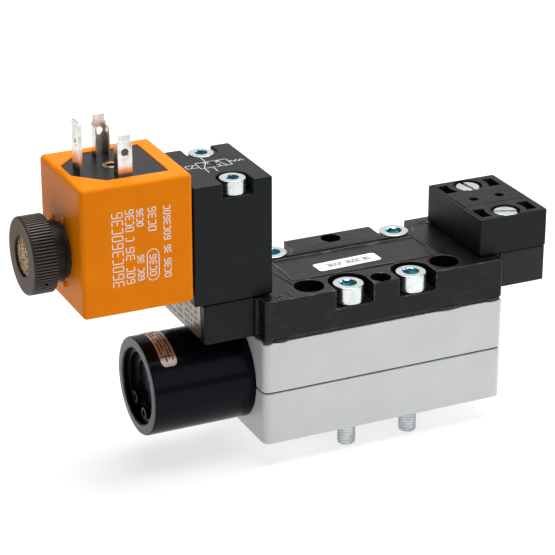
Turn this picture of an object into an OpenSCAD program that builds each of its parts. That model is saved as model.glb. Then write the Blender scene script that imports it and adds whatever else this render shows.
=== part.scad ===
// Five-port, two-position solenoid valve for a standard port plate.
// Millimetres. +X runs along the spool, +Z points away from the port plate.
// The origin is the centre of the supply port in the valve's base face.

/* [Housing] */
// Length of the grey housing
housing_l = 72.1; // [71.6:0.1:73]
// Depth of the grey housing
housing_w = 37.4; // [37:0.1:39]
// Height of the lower housing half
lower_h = 14.8; // [14.4:0.1:15]
// Height of the two housing halves together
housing_h = 29.3; // [29:0.1:30]
// Radius of the housing's upright corners
housing_corner_r = 2; // [1:0.1:3]
// Height of the spool's axis above the base face
spool_z = 15.4; // [15.1:0.1:15.7]

/* [Ports] */
// Distance from one port to the next
port_pitch = 9; // [8.8:0.1:9.2]
// Radius of each port in the base face
port_r = 3; // [2.6:0.1:3.1]
// Depth of each port, up to the narrower passage that leads on to the sleeve
port_depth = 5; // [4:0.25:6]

/* [Top plate] */
// Length of the black top plate
plate_l = 71.2; // [70.6:0.1:71.8]
// Depth of the black top plate
plate_w = 36.6; // [36.4:0.1:37]
// Height of the plate's underside above the base face
plate_z0 = 30.3; // [30.2:0.1:30.6]
// Height of the plate's top above the base face
plate_z1 = 41.3; // [41.1:0.1:41.6]

/* [Housing bolts] */
// Half the spacing of the front pair of bolts
front_bolt_x = 9.4; // [9:0.1:9.8]
// Half the spacing of the rear pair of bolts
rear_bolt_x = 18.8; // [18:0.1:19]
// Distance of each bolt row from the middle
bolt_row_y = 14; // [13.6:0.1:14.2]
// How far each bolt end stands out of the base face
stud_out = 6.75; // [5:0.25:8]
// Height of the seats under the bolt heads
bolt_seat_z = 35.8; // [35.4:0.1:36.2]

/* [Motion] */
// Travel of the spool
spool_stroke = 4.8; // [4.6:0.1:4.9]
// Travel of the solenoid's plunger
plunger_stroke = 1.2; // [0.8:0.1:1.5]

/* [Return spring housing] */
// Outer radius of the round housing at the left end
drum_r = 13.45; // [13:0.05:13.5]
// How far the round housing stands out from the grey housing
drum_l = 28.85; // [28:0.05:30]
// Radius of its bore
drum_bore_r = 10.5; // [10.3:0.1:10.8]

/* [Solenoid] */
// Height of the plunger's axis above the base face
coil_z = 58; // [57.8:0.1:58.2]
// Left end of the coil
coil_x0 = -84.2; // [-84.4:0.1:-84.1]
// Right end of the coil
coil_x1 = -54.05; // [-54.1:0.05:-53.9]
// Depth of the coil
coil_w = 30; // [29.6:0.1:30.4]
// Underside of the coil
coil_z0 = 43.85; // [43.5:0.05:44]
// Top of the coil
coil_z1 = 79; // [78.8:0.1:79.4]
// Radius of the knurled nut
nut_r = 10.2; // [9.8:0.1:10.4]
// Left end of the knurled nut
nut_x0 = -95; // [-95.5:0.1:-94.8]

/* [Pilot valve] */
// Left face of the pilot block
pilot_x0 = -53.6; // [-53.8:0.1:-53.5]
// Right face of the pilot block
pilot_x1 = -31.45; // [-32:0.05:-31]
// Depth of the pilot block
pilot_w = 28.1; // [27.8:0.1:28.6]
// Top of the pilot block
pilot_z1 = 74.5; // [74.3:0.1:75]

/* [Right end] */
// Left face of the cover block
cover_x0 = 30; // [29.6:0.1:30.4]
// Right face of the cover block
cover_x1 = 50.9; // [50.7:0.1:51.3]
// Depth of the cover block
cover_w = 29.8; // [29.4:0.1:30.2]
// Top of the cover block
cover_z1 = 52.1; // [51.9:0.1:52.5]

/* [Hidden] */
$fn = 72;

bolt_places = [[-front_bolt_x, -bolt_row_y], [front_bolt_x, -bolt_row_y],
    [-rear_bolt_x, bolt_row_y], [rear_bolt_x, bolt_row_y]];
bolt_r = 2.5;
bolt_waist_r = 2.1;
bolt_hole_r = 2.8;
bolt_head_r = 4.2;
bolt_head_h = 5;
notch_r = 5.5;
parting_gap = 0.4;
port_places = [-2, -1, 0, 1, 2];

// Spool bore and what it holds
bore_r = 9;
bore_x1 = 32.3;
sleeve_x = 23.4;
sleeve_r = 8.95;
spool_r = 5;
sleeve_bore_r = 5.06;
land_places = [-2 * port_pitch, 0, 2 * port_pitch];
seal_places = [for (i = [-2.4, -1.5, -0.5, 0.5, 1.5, 2.4]) i * port_pitch];
land_start = 1.1;
land_l = 2.6;
waist_r = 3;
piston_x1 = bore_x1 - 0.5;
piston_l = 3.2;
rod_x0 = -42.4;
rod_r = 3;

// Return spring housing
drum_x0 = -housing_l / 2 - drum_l;
drum_floor_x = -40;
spigot_x1 = -23.8;
ring_groove_x0 = drum_x0 + 1.5;
ring_t = 1.1;
disc_t = 3;
disc_x0 = ring_groove_x0 + ring_t;
disc_x1 = disc_x0 + disc_t;
ring_gap_angle = -71;
ring_gap_half = 24;

// Solenoid
tube_r = 6.5;
tube_bore_r = 5.35;
tube_x1 = -50.6;
core_x1 = -72;
plunger_r = 5.3;
nozzle_tip_x = -49;
plunger_x1 = nozzle_tip_x - 1.1;
plunger_x0 = core_x1 + plunger_stroke + 0.1;
frame_wall = 1.5;
yoke_x0 = -82.7;
yoke_x1 = -55.6;
yoke_w = 26.4;
yoke_z0 = 46.4;
yoke_z1 = 69.6;
bobbin_flange_r = 11.4;
thread_r = 4;
collar_x0 = -88.6;
washer_x0 = coil_x0 - 1.15;
washer_r = 7.3;
stud_x0 = -91.6;
filter_bore_r = 5.3;
filter_x0 = -94.55;
filter_x1 = -92.8;

// Electrical connector
connector_y = 0.4;
connector_z0 = 72.5;
connector_z1 = coil_z1 - 0.2;
contact_x = -69.7;
contact_spacing = 18.2;
contact_w = 3.9;
contact_flange = 3;
contact_sheet = 0.5;
tongue_w = 3.1;
contact_top = 89.35;
shoulder_z = 87.5;
flange_top = 86.6;
contact_hole_z = 85;
earth_x = -78.95;
blade_w = 5.4;
blade_t = 0.8;
blade_z0 = 74;
earth_top = 91.7;
insert_x = -70.1;

// Pilot block, adapter and end extension
gasket_t = 0.3;
adapter_x0 = -51;
adapter_x1 = -36.6;
adapter_w = 28.4;
adapter_z0 = 30.4;
pilot_z0 = plate_z1 + gasket_t;
pilot_screw_x = -41.1;
pilot_screw_y = 10.2;
pilot_seat_z = 70.4;
extension_z0 = 31.1;
extension_x1 = cover_x1 + 0.05;
extension_w = 29;
end_screw_y = 5.5;
end_screw_z = 35.6;
gallery_z = 36.5;
cover_screw_x = (cover_x0 + cover_x1) / 2 - 0.2;
cover_screw_y = 10.5;
cover_seat_z = 49.2;

// A box given by its two opposite corners
module box(lo, hi) {
    translate(lo) cube([hi[0] - lo[0], hi[1] - lo[1], hi[2] - lo[2]]);
}

// A cylinder along X
module rod(x0, x1, r) {
    translate([x0, 0, 0]) rotate([0, 90, 0]) cylinder(h = x1 - x0, r = r);
}

// A cylinder along Z at a place
module post(place, z0, z1, r) {
    translate([place[0], place[1], z0]) cylinder(h = z1 - z0, r = r);
}

// A rectangle with round corners, between two opposite corners
module round_rect(lo, hi, r) {
    translate([lo[0] + r, lo[1]]) square([hi[0] - lo[0] - 2 * r, hi[1] - lo[1]]);
    translate([lo[0], lo[1] + r]) square([hi[0] - lo[0], hi[1] - lo[1] - 2 * r]);
    for (x = [lo[0] + r, hi[0] - r], y = [lo[1] + r, hi[1] - r])
        translate([x, y]) circle(r = r);
}

// A block with round upright corners
module round_block(lo, hi, r) {
    translate([0, 0, lo[2]]) linear_extrude(height = hi[2] - lo[2])
        round_rect([lo[0], lo[1]], [hi[0], hi[1]], r);
}

// An O-ring round the X axis
module ring_seal(x, ring_r, cord_r) {
    translate([x, 0, 0]) rotate([0, 90, 0]) rotate_extrude()
        translate([ring_r, 0]) circle(r = cord_r, $fn = 24);
}

// The places where the four housing bolts pass
module bolt_holes(z0, z1) {
    for (place = bolt_places) post(place, z0, z1, bolt_hole_r);
}

// Points of one ring of a coil spring's wire, whose centre lies at angle a
function wire_ring(a, x, coil_r, wire_r, sides) = [for (i = [0 : sides - 1])
    let (t = 360 * i / sides, reach = coil_r + wire_r * cos(t))
    [x + wire_r * sin(t), reach * cos(a), reach * sin(a)]];

// A coil spring along X from x0 to x1
module coil_spring(x0, x1, coil_r, wire_r, turns, steps) {
    sides = 8;
    count = turns * steps;
    first = x0 + wire_r;
    travel = x1 - x0 - 2 * wire_r;
    points = [for (k = [0 : count]) each
        wire_ring(360 * k / steps, first + travel * k / count, coil_r, wire_r, sides)];
    walls = [for (k = [0 : count - 1], i = [0 : sides - 1]) let (j = (i + 1) % sides)
        [k * sides + i, (k + 1) * sides + i, (k + 1) * sides + j, k * sides + j]];
    near_cap = [for (i = [0 : sides - 1]) i];
    far_cap = [for (i = [sides - 1 : -1 : 0]) count * sides + i];
    polyhedron(points = points, faces = concat([near_cap], walls, [far_cap]), convexity = 10);
}

// What is cut out of both housing halves: the spool's bore, ports and bolt holes
module housing_cuts() {
    translate([0, 0, spool_z]) rod(-housing_l / 2 - 1, bore_x1, bore_r);
    for (i = port_places) {
        post([i * port_pitch, 0], -1, port_depth, port_r);
        post([i * port_pitch, 0], 0, spool_z, port_r - 0.7);
    }
    bolt_holes(-1, housing_h + 1);
    post([bore_x1 - 1.2, 0], spool_z, housing_h + 1, 1.2);
}

module body_lower() {
    half_l = housing_l / 2;
    half_w = housing_w / 2;
    color("gainsboro") difference() {
        round_block([-half_l, -half_w, 0], [half_l, half_w, lower_h], housing_corner_r);
        housing_cuts();
        for (i = port_places) difference() {
            post([i * port_pitch, 0], -1, 1.2, 4.3);
            post([i * port_pitch, 0], -1, 1.2, 3.6);
        }
    }
}

module body_upper() {
    half_l = housing_l / 2;
    half_w = housing_w / 2;
    color("gainsboro") difference() {
        round_block([-half_l, -half_w, lower_h + parting_gap], [half_l, half_w, housing_h],
            housing_corner_r);
        housing_cuts();
    }
}

module body_seal() {
    half_l = housing_l / 2 - 0.6;
    half_w = housing_w / 2 - 0.6;
    color("dimgray") difference() {
        round_block([-half_l, -half_w, lower_h], [half_l, half_w, lower_h + parting_gap],
            housing_corner_r);
        housing_cuts();
    }
}

module port_seals() {
    color("black") for (i = port_places) translate([i * port_pitch, 0, 0]) difference() {
        cylinder(h = 1.2, r = 4.3);
        translate([0, 0, -1]) cylinder(h = 3, r = 3.6);
    }
}

module plate_gasket() {
    half_l = plate_l / 2 - 0.8;
    half_w = plate_w / 2 - 0.3;
    color("black") difference() {
        round_block([-half_l, -half_w, housing_h], [half_l, half_w, plate_z0], 3);
        bolt_holes(housing_h - 1, plate_z0 + 1);
        post([bore_x1 - 1.2, 0], housing_h - 1, plate_z0 + 1, 1.2);
    }
}

// A notch for a bolt head, open to the front (side -1) or the rear (side 1)
module bolt_notch(place, side) {
    post(place, bolt_seat_z, plate_z1 + 1, notch_r);
    box([place[0] - notch_r, min(place[1], side * plate_w), bolt_seat_z],
        [place[0] + notch_r, max(place[1], side * plate_w), plate_z1 + 1]);
}

module top_plate() {
    half_l = plate_l / 2;
    half_w = plate_w / 2;
    color("#3a3533") difference() {
        round_block([-half_l, -half_w, plate_z0], [half_l, half_w, plate_z1], 0.8);
        bolt_holes(plate_z0 - 1, plate_z1);
        for (place = bolt_places) bolt_notch(place, sign(place[1]));
        for (x = [-20.3, 20.3]) {
            post([x, -12.6], plate_z1 - 8, plate_z1 + 1, 4.1);
        }
        for (y = [-15.2, 15.2]) post([-0.3, y], plate_z1 - 7, plate_z1 + 1, 2.8);
        box([-22.2, -7.6, plate_z1 - 0.4], [20.8, 6.8, plate_z1 + 1]);
        box([-27, 7.4, plate_z1 - 0.6], [20.8, 8.2, plate_z1 + 1]);
        translate([0, 0, gallery_z]) rod(-half_l - 1, half_l + 1, 1.5);
        post([bore_x1 - 1.2, 0], plate_z0 - 1, gallery_z, 1.2);
        for (y = [-end_screw_y, end_screw_y], x = [-half_l - 1, half_l - 8])
            translate([0, y, end_screw_z]) rod(x, x + 9, 1.5);
    }
}

// A socket-head screw standing head up: its head starts at z_seat, its shank ends at z_end
module socket_screw(z_end, z_seat, head_r, head_h, shank_r, hex_af, hex_depth) {
    difference() {
        union() {
            translate([0, 0, z_seat]) cylinder(h = head_h, r = head_r);
            translate([0, 0, z_end + 0.6]) cylinder(h = z_seat - z_end - 0.6, r = shank_r);
            translate([0, 0, z_end]) cylinder(h = 0.6, r1 = shank_r - 0.6, r2 = shank_r);
        }
        translate([0, 0, z_seat + head_h - hex_depth])
            cylinder(h = hex_depth + 1, r = hex_af / 2 / cos(30), $fn = 6);
    }
}

// Four bolts with waisted shanks; the thread starts where each one leaves the base face
module plate_screws() {
    color("silver") for (place = bolt_places) translate([place[0], place[1], 0]) {
        socket_screw(-0.6, bolt_seat_z, bolt_head_r, bolt_head_h, bolt_waist_r, 4, 2.6);
        translate([0, 0, 0.6 - stud_out]) cylinder(h = stud_out - 0.6, r = bolt_r);
        translate([0, 0, -stud_out]) cylinder(h = 0.6, r1 = bolt_r - 0.6, r2 = bolt_r);
    }
}

module plate_label() {
    color("white") translate([-3.6, -1.7, plate_z1 - 0.4]) rotate([0, 0, 2.5])
        linear_extrude(height = 0.12) round_rect([-9.5, -2.6], [9.5, 2.6], 0.9);
}

module valve_sleeve() {
    color("silver") translate([0, 0, spool_z]) difference() {
        rod(-sleeve_x, sleeve_x, sleeve_r);
        rod(-sleeve_x - 1, sleeve_x + 1, sleeve_bore_r);
        for (i = port_places) {
            difference() {
                rod(i * port_pitch - 2.2, i * port_pitch + 2.2, sleeve_r + 1);
                rod(i * port_pitch - 3, i * port_pitch + 3, 7);
            }
            for (a = [0, 45, 90, 135]) translate([i * port_pitch, 0, 0]) rotate([a, 0, 0])
                cylinder(h = 20, r = 1, center = true);
        }
        for (x = seal_places) difference() {
            rod(x - 0.9, x + 0.9, sleeve_r + 1);
            rod(x - 1, x + 1, 7.3);
        }
    }
}

module sleeve_seals() {
    color("black") translate([0, 0, spool_z])
        for (x = seal_places) ring_seal(x, 8.12, 0.8);
}

// The spool carries three lands on a thin waist, and its rods reach both ends
module spool() {
    color("lightsteelblue") translate([0, 0, spool_z]) difference() {
        union() {
            rod(rod_x0, piston_x1, rod_r);
            for (x = land_places) rod(x + land_start, x + land_start + land_l, spool_r);
            rod(-sleeve_x + 1, -sleeve_x + 3, spool_r - 0.6);
        }
        for (x = land_places) difference() {
            rod(x + land_start + 0.8, x + land_start + 1.8, spool_r + 1);
            rod(x + land_start + 0.5, x + land_start + 2, spool_r - 0.9);
        }
    }
}

module spool_seals() {
    color("black") translate([0, 0, spool_z])
        for (x = land_places) ring_seal(x + land_start + land_l / 2, spool_r - 0.43, 0.45);
}

module pilot_piston() {
    color("ivory") translate([0, 0, spool_z]) difference() {
        rod(piston_x1 - piston_l, piston_x1, bore_r - 0.08);
        rod(piston_x1 - piston_l - 1, piston_x1 + 1, rod_r);
        difference() {
            rod(piston_x1 - 2.4, piston_x1 - 0.8, bore_r + 1);
            rod(piston_x1 - 2.5, piston_x1 - 0.7, bore_r - 1.6);
        }
    }
}

module piston_seal() {
    color("black") translate([0, 0, spool_z]) ring_seal(piston_x1 - 1.6, bore_r - 0.82, 0.76);
}

module spring_seat() {
    color("silver") translate([0, 0, spool_z]) difference() {
        union() {
            rod(rod_x0, rod_x0 + 1.6, 8.2);
            rod(rod_x0 - 1.6, rod_x0, 5.4);
        }
        rod(rod_x0, rod_x0 + 2, rod_r);
    }
}

module return_spring() {
    color("gray") translate([0, 0, spool_z])
        coil_spring(disc_x1 + 0.05, rod_x0 - 0.05, 6.6, 0.75, 6, 14);
}

module spring_housing() {
    color("#1c2027") translate([0, 0, spool_z]) difference() {
        union() {
            rod(drum_x0 + 0.5, -housing_l / 2, drum_r);
            translate([drum_x0, 0, 0]) rotate([0, 90, 0])
                cylinder(h = 0.5, r1 = drum_r - 0.5, r2 = drum_r);
            rod(-housing_l / 2, spigot_x1, bore_r - 0.05);
        }
        rod(drum_x0 - 1, drum_floor_x, drum_bore_r);
        rod(drum_floor_x - 1, spigot_x1 + 1, 6.5);
        rod(ring_groove_x0, ring_groove_x0 + ring_t, drum_bore_r + 0.8);
        difference() {
            rod(-32, -30.2, bore_r + 1);
            rod(-33, -29, bore_r - 1.7);
        }
    }
}

module housing_seal() {
    color("black") translate([0, 0, spool_z]) ring_seal(-31.1, bore_r - 0.85, 0.8);
}

module end_disc() {
    color("#20242a") translate([0, 0, spool_z]) difference() {
        rod(disc_x0, disc_x1, drum_bore_r - 0.05);
        rod(disc_x0 - 1, disc_x0 + 1, 6.2);
    }
}

// A retaining ring for a bore, with a lug at each end of its gap
module retaining_ring() {
    outer_r = drum_bore_r + 0.75;
    color("#2a2d31") translate([ring_groove_x0 + 0.03, 0, spool_z]) rotate([ring_gap_angle, 0, 0])
        rotate([0, 90, 0]) rotate([0, 0, 90]) linear_extrude(height = ring_t - 0.06) difference() {
            union() {
                difference() {
                    circle(r = outer_r);
                    circle(r = outer_r - 2.1);
                    polygon([[0, 0], 30 * [cos(ring_gap_half), sin(ring_gap_half)],
                        [30, 0], 30 * [cos(ring_gap_half), -sin(ring_gap_half)]]);
                }
                for (s = [-1, 1]) translate(8.3 * [cos(ring_gap_half), s * sin(ring_gap_half)])
                    circle(r = 1.9);
            }
            for (s = [-1, 1]) translate(8.1 * [cos(ring_gap_half), s * sin(ring_gap_half)])
                circle(r = 0.9);
        }
}

// A foil strip bent over the top of the spring housing
module housing_label() {
    reach = 2 * drum_r;
    color("burlywood") translate([-61.3, 0, spool_z]) rotate([90, 0, 90])
        linear_extrude(height = 4.4) intersection() {
            difference() {
                circle(r = drum_r + 0.12);
                circle(r = drum_r);
            }
            polygon([[0, 0], reach * [cos(50), sin(50)], [0, reach],
                reach * [cos(140), sin(140)]]);
        }
}

module pilot_adapter() {
    color("#23272a") difference() {
        round_block([adapter_x0, -adapter_w / 2, adapter_z0], [adapter_x1, adapter_w / 2, plate_z1],
            0.6);
        for (y = [-pilot_screw_y, pilot_screw_y])
            post([pilot_screw_x, y], adapter_z0 + 2, plate_z1 + 1, 2);
        translate([0, 0, gallery_z]) rod(-45, adapter_x1 + 1, 1.5);
        post([-45, 0], gallery_z, plate_z1 + 1, 1.5);
        for (y = [-end_screw_y, end_screw_y]) translate([0, y, end_screw_z]) {
            rod(adapter_x0 - 1, adapter_x1 + 1, 1.6);
            rod(adapter_x0 - 1, adapter_x0 + 3.2, 2.9);
        }
    }
}

module adapter_gasket() {
    color("black") difference() {
        box([adapter_x1, -adapter_w / 2 - 0.3, adapter_z0 + 0.4],
            [-plate_l / 2, adapter_w / 2 + 0.3, plate_z1 - 0.3]);
        translate([0, 0, gallery_z]) rod(adapter_x1 - 1, 1 - plate_l / 2, 1.5);
        for (y = [-end_screw_y, end_screw_y]) translate([0, y, end_screw_z])
            rod(adapter_x1 - 1, 1 - plate_l / 2, 1.6);
    }
}

module adapter_label() {
    color("silver") box([adapter_x0 - 0.12, -11.6, adapter_z0 + 0.8],
        [adapter_x0, 12.6, plate_z1 - 0.4]);
}

module end_extension() {
    color("#383232") difference() {
        round_block([plate_l / 2 + 0.9, -extension_w / 2, extension_z0],
            [extension_x1, extension_w / 2, plate_z1], 0.6);
        for (y = [-cover_screw_y, cover_screw_y])
            post([cover_screw_x, y], extension_z0 + 1.5, plate_z1 + 1, 2);
        translate([0, 0, gallery_z]) rod(plate_l / 2, 44, 1.5);
        post([44, 0], gallery_z, plate_z1 + 1, 1.5);
        for (y = [-end_screw_y, end_screw_y]) translate([0, y, end_screw_z]) {
            rod(plate_l / 2, extension_x1 + 1, 1.6);
            rod(extension_x1 - 3.2, extension_x1 + 1, 2.9);
        }
    }
}

module extension_gasket() {
    color("black") difference() {
        box([plate_l / 2, -extension_w / 2 + 0.3, extension_z0 + 0.3],
            [plate_l / 2 + 0.9, extension_w / 2 - 0.3, plate_z1 - 0.3]);
        translate([0, 0, gallery_z]) rod(plate_l / 2 - 1, plate_l / 2 + 2, 1.5);
        for (y = [-end_screw_y, end_screw_y]) translate([0, y, end_screw_z])
            rod(plate_l / 2 - 1, plate_l / 2 + 2, 1.6);
    }
}

// Four screws that clamp the adapter and the extension to the top plate's ends
module end_screws() {
    color("silver") for (y = [-end_screw_y, end_screw_y]) translate([0, y, end_screw_z]) {
        translate([adapter_x0 + 3.2, 0, 0]) rotate([0, -90, 0])
            socket_screw(-20, 0, 2.75, 3, 1.5, 2.5, 1.3);
        translate([extension_x1 - 3.2, 0, 0]) rotate([0, 90, 0])
            socket_screw(-18, 0, 2.75, 3, 1.5, 2.5, 1.3);
    }
}

// A notch for a pilot screw's head, open to the front (side -1) or the rear (side 1)
module pilot_notch(side) {
    place = [pilot_screw_x, side * pilot_screw_y];
    post(place, pilot_seat_z, pilot_z1 + 1, 4.15);
    box([place[0] - 4.15, min(place[1], side * pilot_w), pilot_seat_z],
        [place[0] + 4.15, max(place[1], side * pilot_w), pilot_z1 + 1]);
}

module pilot_body() {
    color("#23272a") difference() {
        round_block([pilot_x0, -pilot_w / 2, pilot_z0], [pilot_x1, pilot_w / 2, pilot_z1], 0.6);
        for (side = [-1, 1]) {
            pilot_notch(side);
            post([pilot_screw_x, side * pilot_screw_y], pilot_z0 - 1, pilot_seat_z + 1, 2.2);
        }
        translate([0, 0, coil_z]) {
            rod(pilot_x0 - 1, tube_x1, 8.55);
            rod(pilot_x0 - 1, -46, 5.35);
            rod(-46.5, -42, 2);
        }
        post([-45, 0], pilot_z0 - 1, coil_z, 1.5);
    }
}

module pilot_gasket() {
    color("black") difference() {
        box([adapter_x0 + 0.8, -pilot_w / 2 + 0.6, plate_z1],
            [adapter_x1 - 0.4, pilot_w / 2 - 0.6, pilot_z0]);
        for (y = [-pilot_screw_y, pilot_screw_y])
            post([pilot_screw_x, y], plate_z1 - 1, pilot_z0 + 1, 2.2);
        post([-45, 0], plate_z1 - 1, pilot_z0 + 1, 1.5);
    }
}

module pilot_screws() {
    color("silver") for (y = [-pilot_screw_y, pilot_screw_y]) translate([pilot_screw_x, y, 0])
        socket_screw(adapter_z0 + 2.4, pilot_seat_z, 3.5, 4, 1.95, 3, 2.2);
}

module pilot_nozzle() {
    color("goldenrod") translate([0, 0, coil_z]) difference() {
        union() {
            rod(nozzle_tip_x, -47.8, 1.2);
            rod(-47.8, -46, 5.3);
        }
        rod(nozzle_tip_x - 1, -45, 0.5);
    }
}

module armature_tube() {
    color("silver") translate([0, 0, coil_z]) difference() {
        union() {
            rod(coil_x0 - 0.2, tube_x1, tube_r);
            rod(pilot_x0, tube_x1, 8.5);
        }
        rod(coil_x0 - 1, tube_x1 + 1, tube_bore_r);
        difference() {
            rod(-51.9, -50.5, 7.6);
            rod(-52.5, -50, 6.4);
        }
    }
}

module tube_seal() {
    color("black") translate([0, 0, coil_z]) ring_seal(-51.25, 7, 0.58);
}

module fixed_core() {
    color("lightgray") translate([0, 0, coil_z]) difference() {
        union() {
            rod(coil_x0 - 0.2, core_x1, tube_bore_r - 0.02);
            rod(stud_x0, coil_x0 - 0.2, thread_r);
        }
        rod(stud_x0 - 1, core_x1 + 1, 0.9);
        rod(core_x1 - 3, core_x1 + 1, 2.6);
    }
}

module plunger() {
    color("lightgray") translate([0, 0, coil_z]) difference() {
        rod(plunger_x0, plunger_x1, plunger_r);
        rod(plunger_x1 - 2, plunger_x1 + 1, 2.6);
        rod(plunger_x0 - 1, plunger_x0 + 6, 2.6);
        for (side = [-1, 1])
            box([plunger_x0 + 8, side * 5 - 0.6, -1], [plunger_x1 - 4, side * 5 + 0.6, 1]);
    }
}

module plunger_disc() {
    color("black") translate([0, 0, coil_z]) rod(plunger_x1 - 2, plunger_x1 + 1.05, 2.6);
}

module plunger_spring() {
    color("gray") translate([0, 0, coil_z])
        coil_spring(core_x1 - 2.95, plunger_x0 + 5.95, 1.9, 0.3, 7, 12);
}

module coil_housing() {
    color("orange") difference() {
        round_block([coil_x0, -coil_w / 2, coil_z0], [coil_x1, coil_w / 2, coil_z1], 1.2);
        translate([0, 0, coil_z]) rod(coil_x0 - 1, coil_x1 + 1, 6.8);
        box([yoke_x0, -yoke_w / 2, yoke_z0], [yoke_x1, yoke_w / 2, yoke_z1]);
        translate([0, 0, connector_z0]) linear_extrude(height = 20) connector_outline(0);
    }
}

module coil_yoke() {
    color("silver") difference() {
        box([yoke_x0, -yoke_w / 2, yoke_z0], [yoke_x1, yoke_w / 2, yoke_z1]);
        box([yoke_x0 + frame_wall, -yoke_w / 2 + frame_wall, yoke_z0 - 1],
            [yoke_x1 - frame_wall, yoke_w / 2 - frame_wall, yoke_z1 + 1]);
        translate([0, 0, coil_z]) rod(yoke_x0 - 1, yoke_x1 + 1, 6.8);
    }
}

module coil_bobbin() {
    x0 = yoke_x0 + frame_wall;
    x1 = yoke_x1 - frame_wall;
    color("darkslategray") translate([0, 0, coil_z]) difference() {
        union() {
            rod(x0, x1, 7.8);
            rod(x0, x0 + 1.2, bobbin_flange_r);
            rod(x1 - 1.2, x1, bobbin_flange_r);
        }
        rod(x0 - 1, x1 + 1, 6.8);
    }
}

module coil_winding() {
    color("peru") translate([0, 0, coil_z]) difference() {
        rod(yoke_x0 + frame_wall + 1.2, yoke_x1 - frame_wall - 1.2, 11);
        rod(yoke_x0, yoke_x1, 7.8);
    }
}

// The plug's seat: a rectangle whose two corners beside the earth blade are cut off
module connector_outline(inset) {
    half = 10.7 - inset;
    translate([0, connector_y]) polygon([[-82.1 + inset, -4], [-75.4, -half], [-58.6 - inset, -half],
        [-58.6 - inset, half], [-75.4, half], [-82.1 + inset, 4]]);
}

module connector_base() {
    color("#181a1c") difference() {
        translate([0, 0, connector_z0]) linear_extrude(height = connector_z1 - connector_z0)
            connector_outline(0);
        post([insert_x, connector_y], connector_z0 + 1, connector_z1 + 1, 2.2);
        for (side = [-1, 1]) contact_section(side, connector_z1 + 1, connector_z1 + 1);
        box([earth_x - blade_t / 2, connector_y - blade_w / 2, blade_z0],
            [earth_x + blade_t / 2, connector_y + blade_w / 2, connector_z1 + 1]);
    }
}

// A contact's channel section: a web on the outer side and a flange at each of its edges
module contact_section(side, z1, flange_z1) {
    y_out = connector_y + side * (contact_spacing + contact_sheet) / 2;
    y_web = y_out - side * contact_sheet;
    y_in = y_out - side * contact_flange;
    box([contact_x - contact_w / 2, min(y_out, y_web), blade_z0],
        [contact_x + contact_w / 2, max(y_out, y_web), z1]);
    for (x = [contact_x - contact_w / 2, contact_x + contact_w / 2 - contact_sheet])
        box([x, min(y_out, y_in), blade_z0], [x + contact_sheet, max(y_out, y_in), flange_z1]);
}

module connector_insert() {
    color("goldenrod") difference() {
        post([insert_x, connector_y], connector_z0 + 1, connector_z1, 2.2);
        post([insert_x, connector_y], connector_z0 + 1.5, connector_z1 + 1, 1.25);
    }
}

// The earth blade from its foot to its chamfered tip
module earth_outline() {
    half = blade_w / 2;
    polygon([[-half, blade_z0], [half, blade_z0], [half, earth_top - 0.8], [half - 0.8, earth_top],
        [1.1 - half, earth_top], [-half, earth_top - 1.1]]);
}

module earth_terminal() {
    color("silver") translate([earth_x - blade_t / 2, connector_y, 0])
        rotate([90, 0, 90]) linear_extrude(height = blade_t) difference() {
            earth_outline();
            translate([0, earth_top - 5.4]) circle(r = 0.9);
        }
}

// One contact with a tongue on top of its web; side -1 is the front one and side 1 the rear one
module contact_terminal(side) {
    y = connector_y + side * contact_spacing / 2;
    difference() {
        union() {
            contact_section(side, shoulder_z, flange_top);
            box([contact_x - tongue_w / 2, y - contact_sheet / 2, shoulder_z - 1],
                [contact_x + tongue_w / 2, y + contact_sheet / 2, contact_top]);
        }
        translate([contact_x, y, contact_hole_z]) rotate([90, 0, 0])
            cylinder(h = 2 * contact_sheet, r = 1, center = true);
    }
}

module front_terminal() {
    color("silver") contact_terminal(-1);
}

module rear_terminal() {
    color("silver") contact_terminal(1);
}

module coil_washer() {
    color("black") translate([0, 0, coil_z]) difference() {
        rod(washer_x0, coil_x0, washer_r);
        rod(washer_x0 - 1, coil_x0 + 1, 6.8);
    }
}

module knurled_nut() {
    color("#4a4340") translate([0, 0, coil_z]) difference() {
        union() {
            rod(nut_x0 + 0.8, collar_x0 - 0.8, nut_r);
            translate([nut_x0, 0, 0]) rotate([0, 90, 0])
                cylinder(h = 0.8, r1 = nut_r - 0.8, r2 = nut_r);
            translate([collar_x0 - 0.8, 0, 0]) rotate([0, 90, 0])
                cylinder(h = 0.8, r1 = nut_r, r2 = nut_r - 0.8);
            rod(collar_x0, washer_x0 - 0.05, 8.1);
        }
        rod(nut_x0 - 1, filter_x1, filter_bore_r);
        rod(filter_x1 - 1, washer_x0 + 1, thread_r + 0.08);
    }
}

module nut_filter() {
    color("#b8935a") translate([0, 0, coil_z]) rod(filter_x0, filter_x1, filter_bore_r - 0.05);
}

// A pocket beside a cover screw; its wall towards the screw follows the boss
module cover_pocket(side_x, side_y) {
    x_in = cover_screw_x + side_x * 5.2;
    x_out = cover_screw_x + side_x * 8.6;
    y_mid = side_y * (cover_screw_y - 0.6);
    difference() {
        box([min(x_in, x_out), y_mid - 2.8, cover_z1 - 6],
            [max(x_in, x_out), y_mid + 2.8, cover_z1 + 1]);
        post([cover_screw_x, side_y * cover_screw_y], cover_z1 - 7, cover_z1 + 2, 5.9);
    }
}

module cover_block() {
    color("#353539") difference() {
        round_block([cover_x0, -cover_w / 2, pilot_z0], [cover_x1, cover_w / 2, cover_z1], 0.5);
        for (side = [-1, 1]) {
            post([cover_screw_x, side * cover_screw_y], cover_seat_z, cover_z1 + 1, 4);
            post([cover_screw_x, side * cover_screw_y], pilot_z0 - 1, cover_seat_z + 1, 2.2);
            for (side_x = [-1, 1]) cover_pocket(side_x, side);
        }
        for (x = [36.4, 44.5]) post([x, 0.3], cover_z1 - 5, cover_z1 + 1, 1.25);
    }
}

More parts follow.
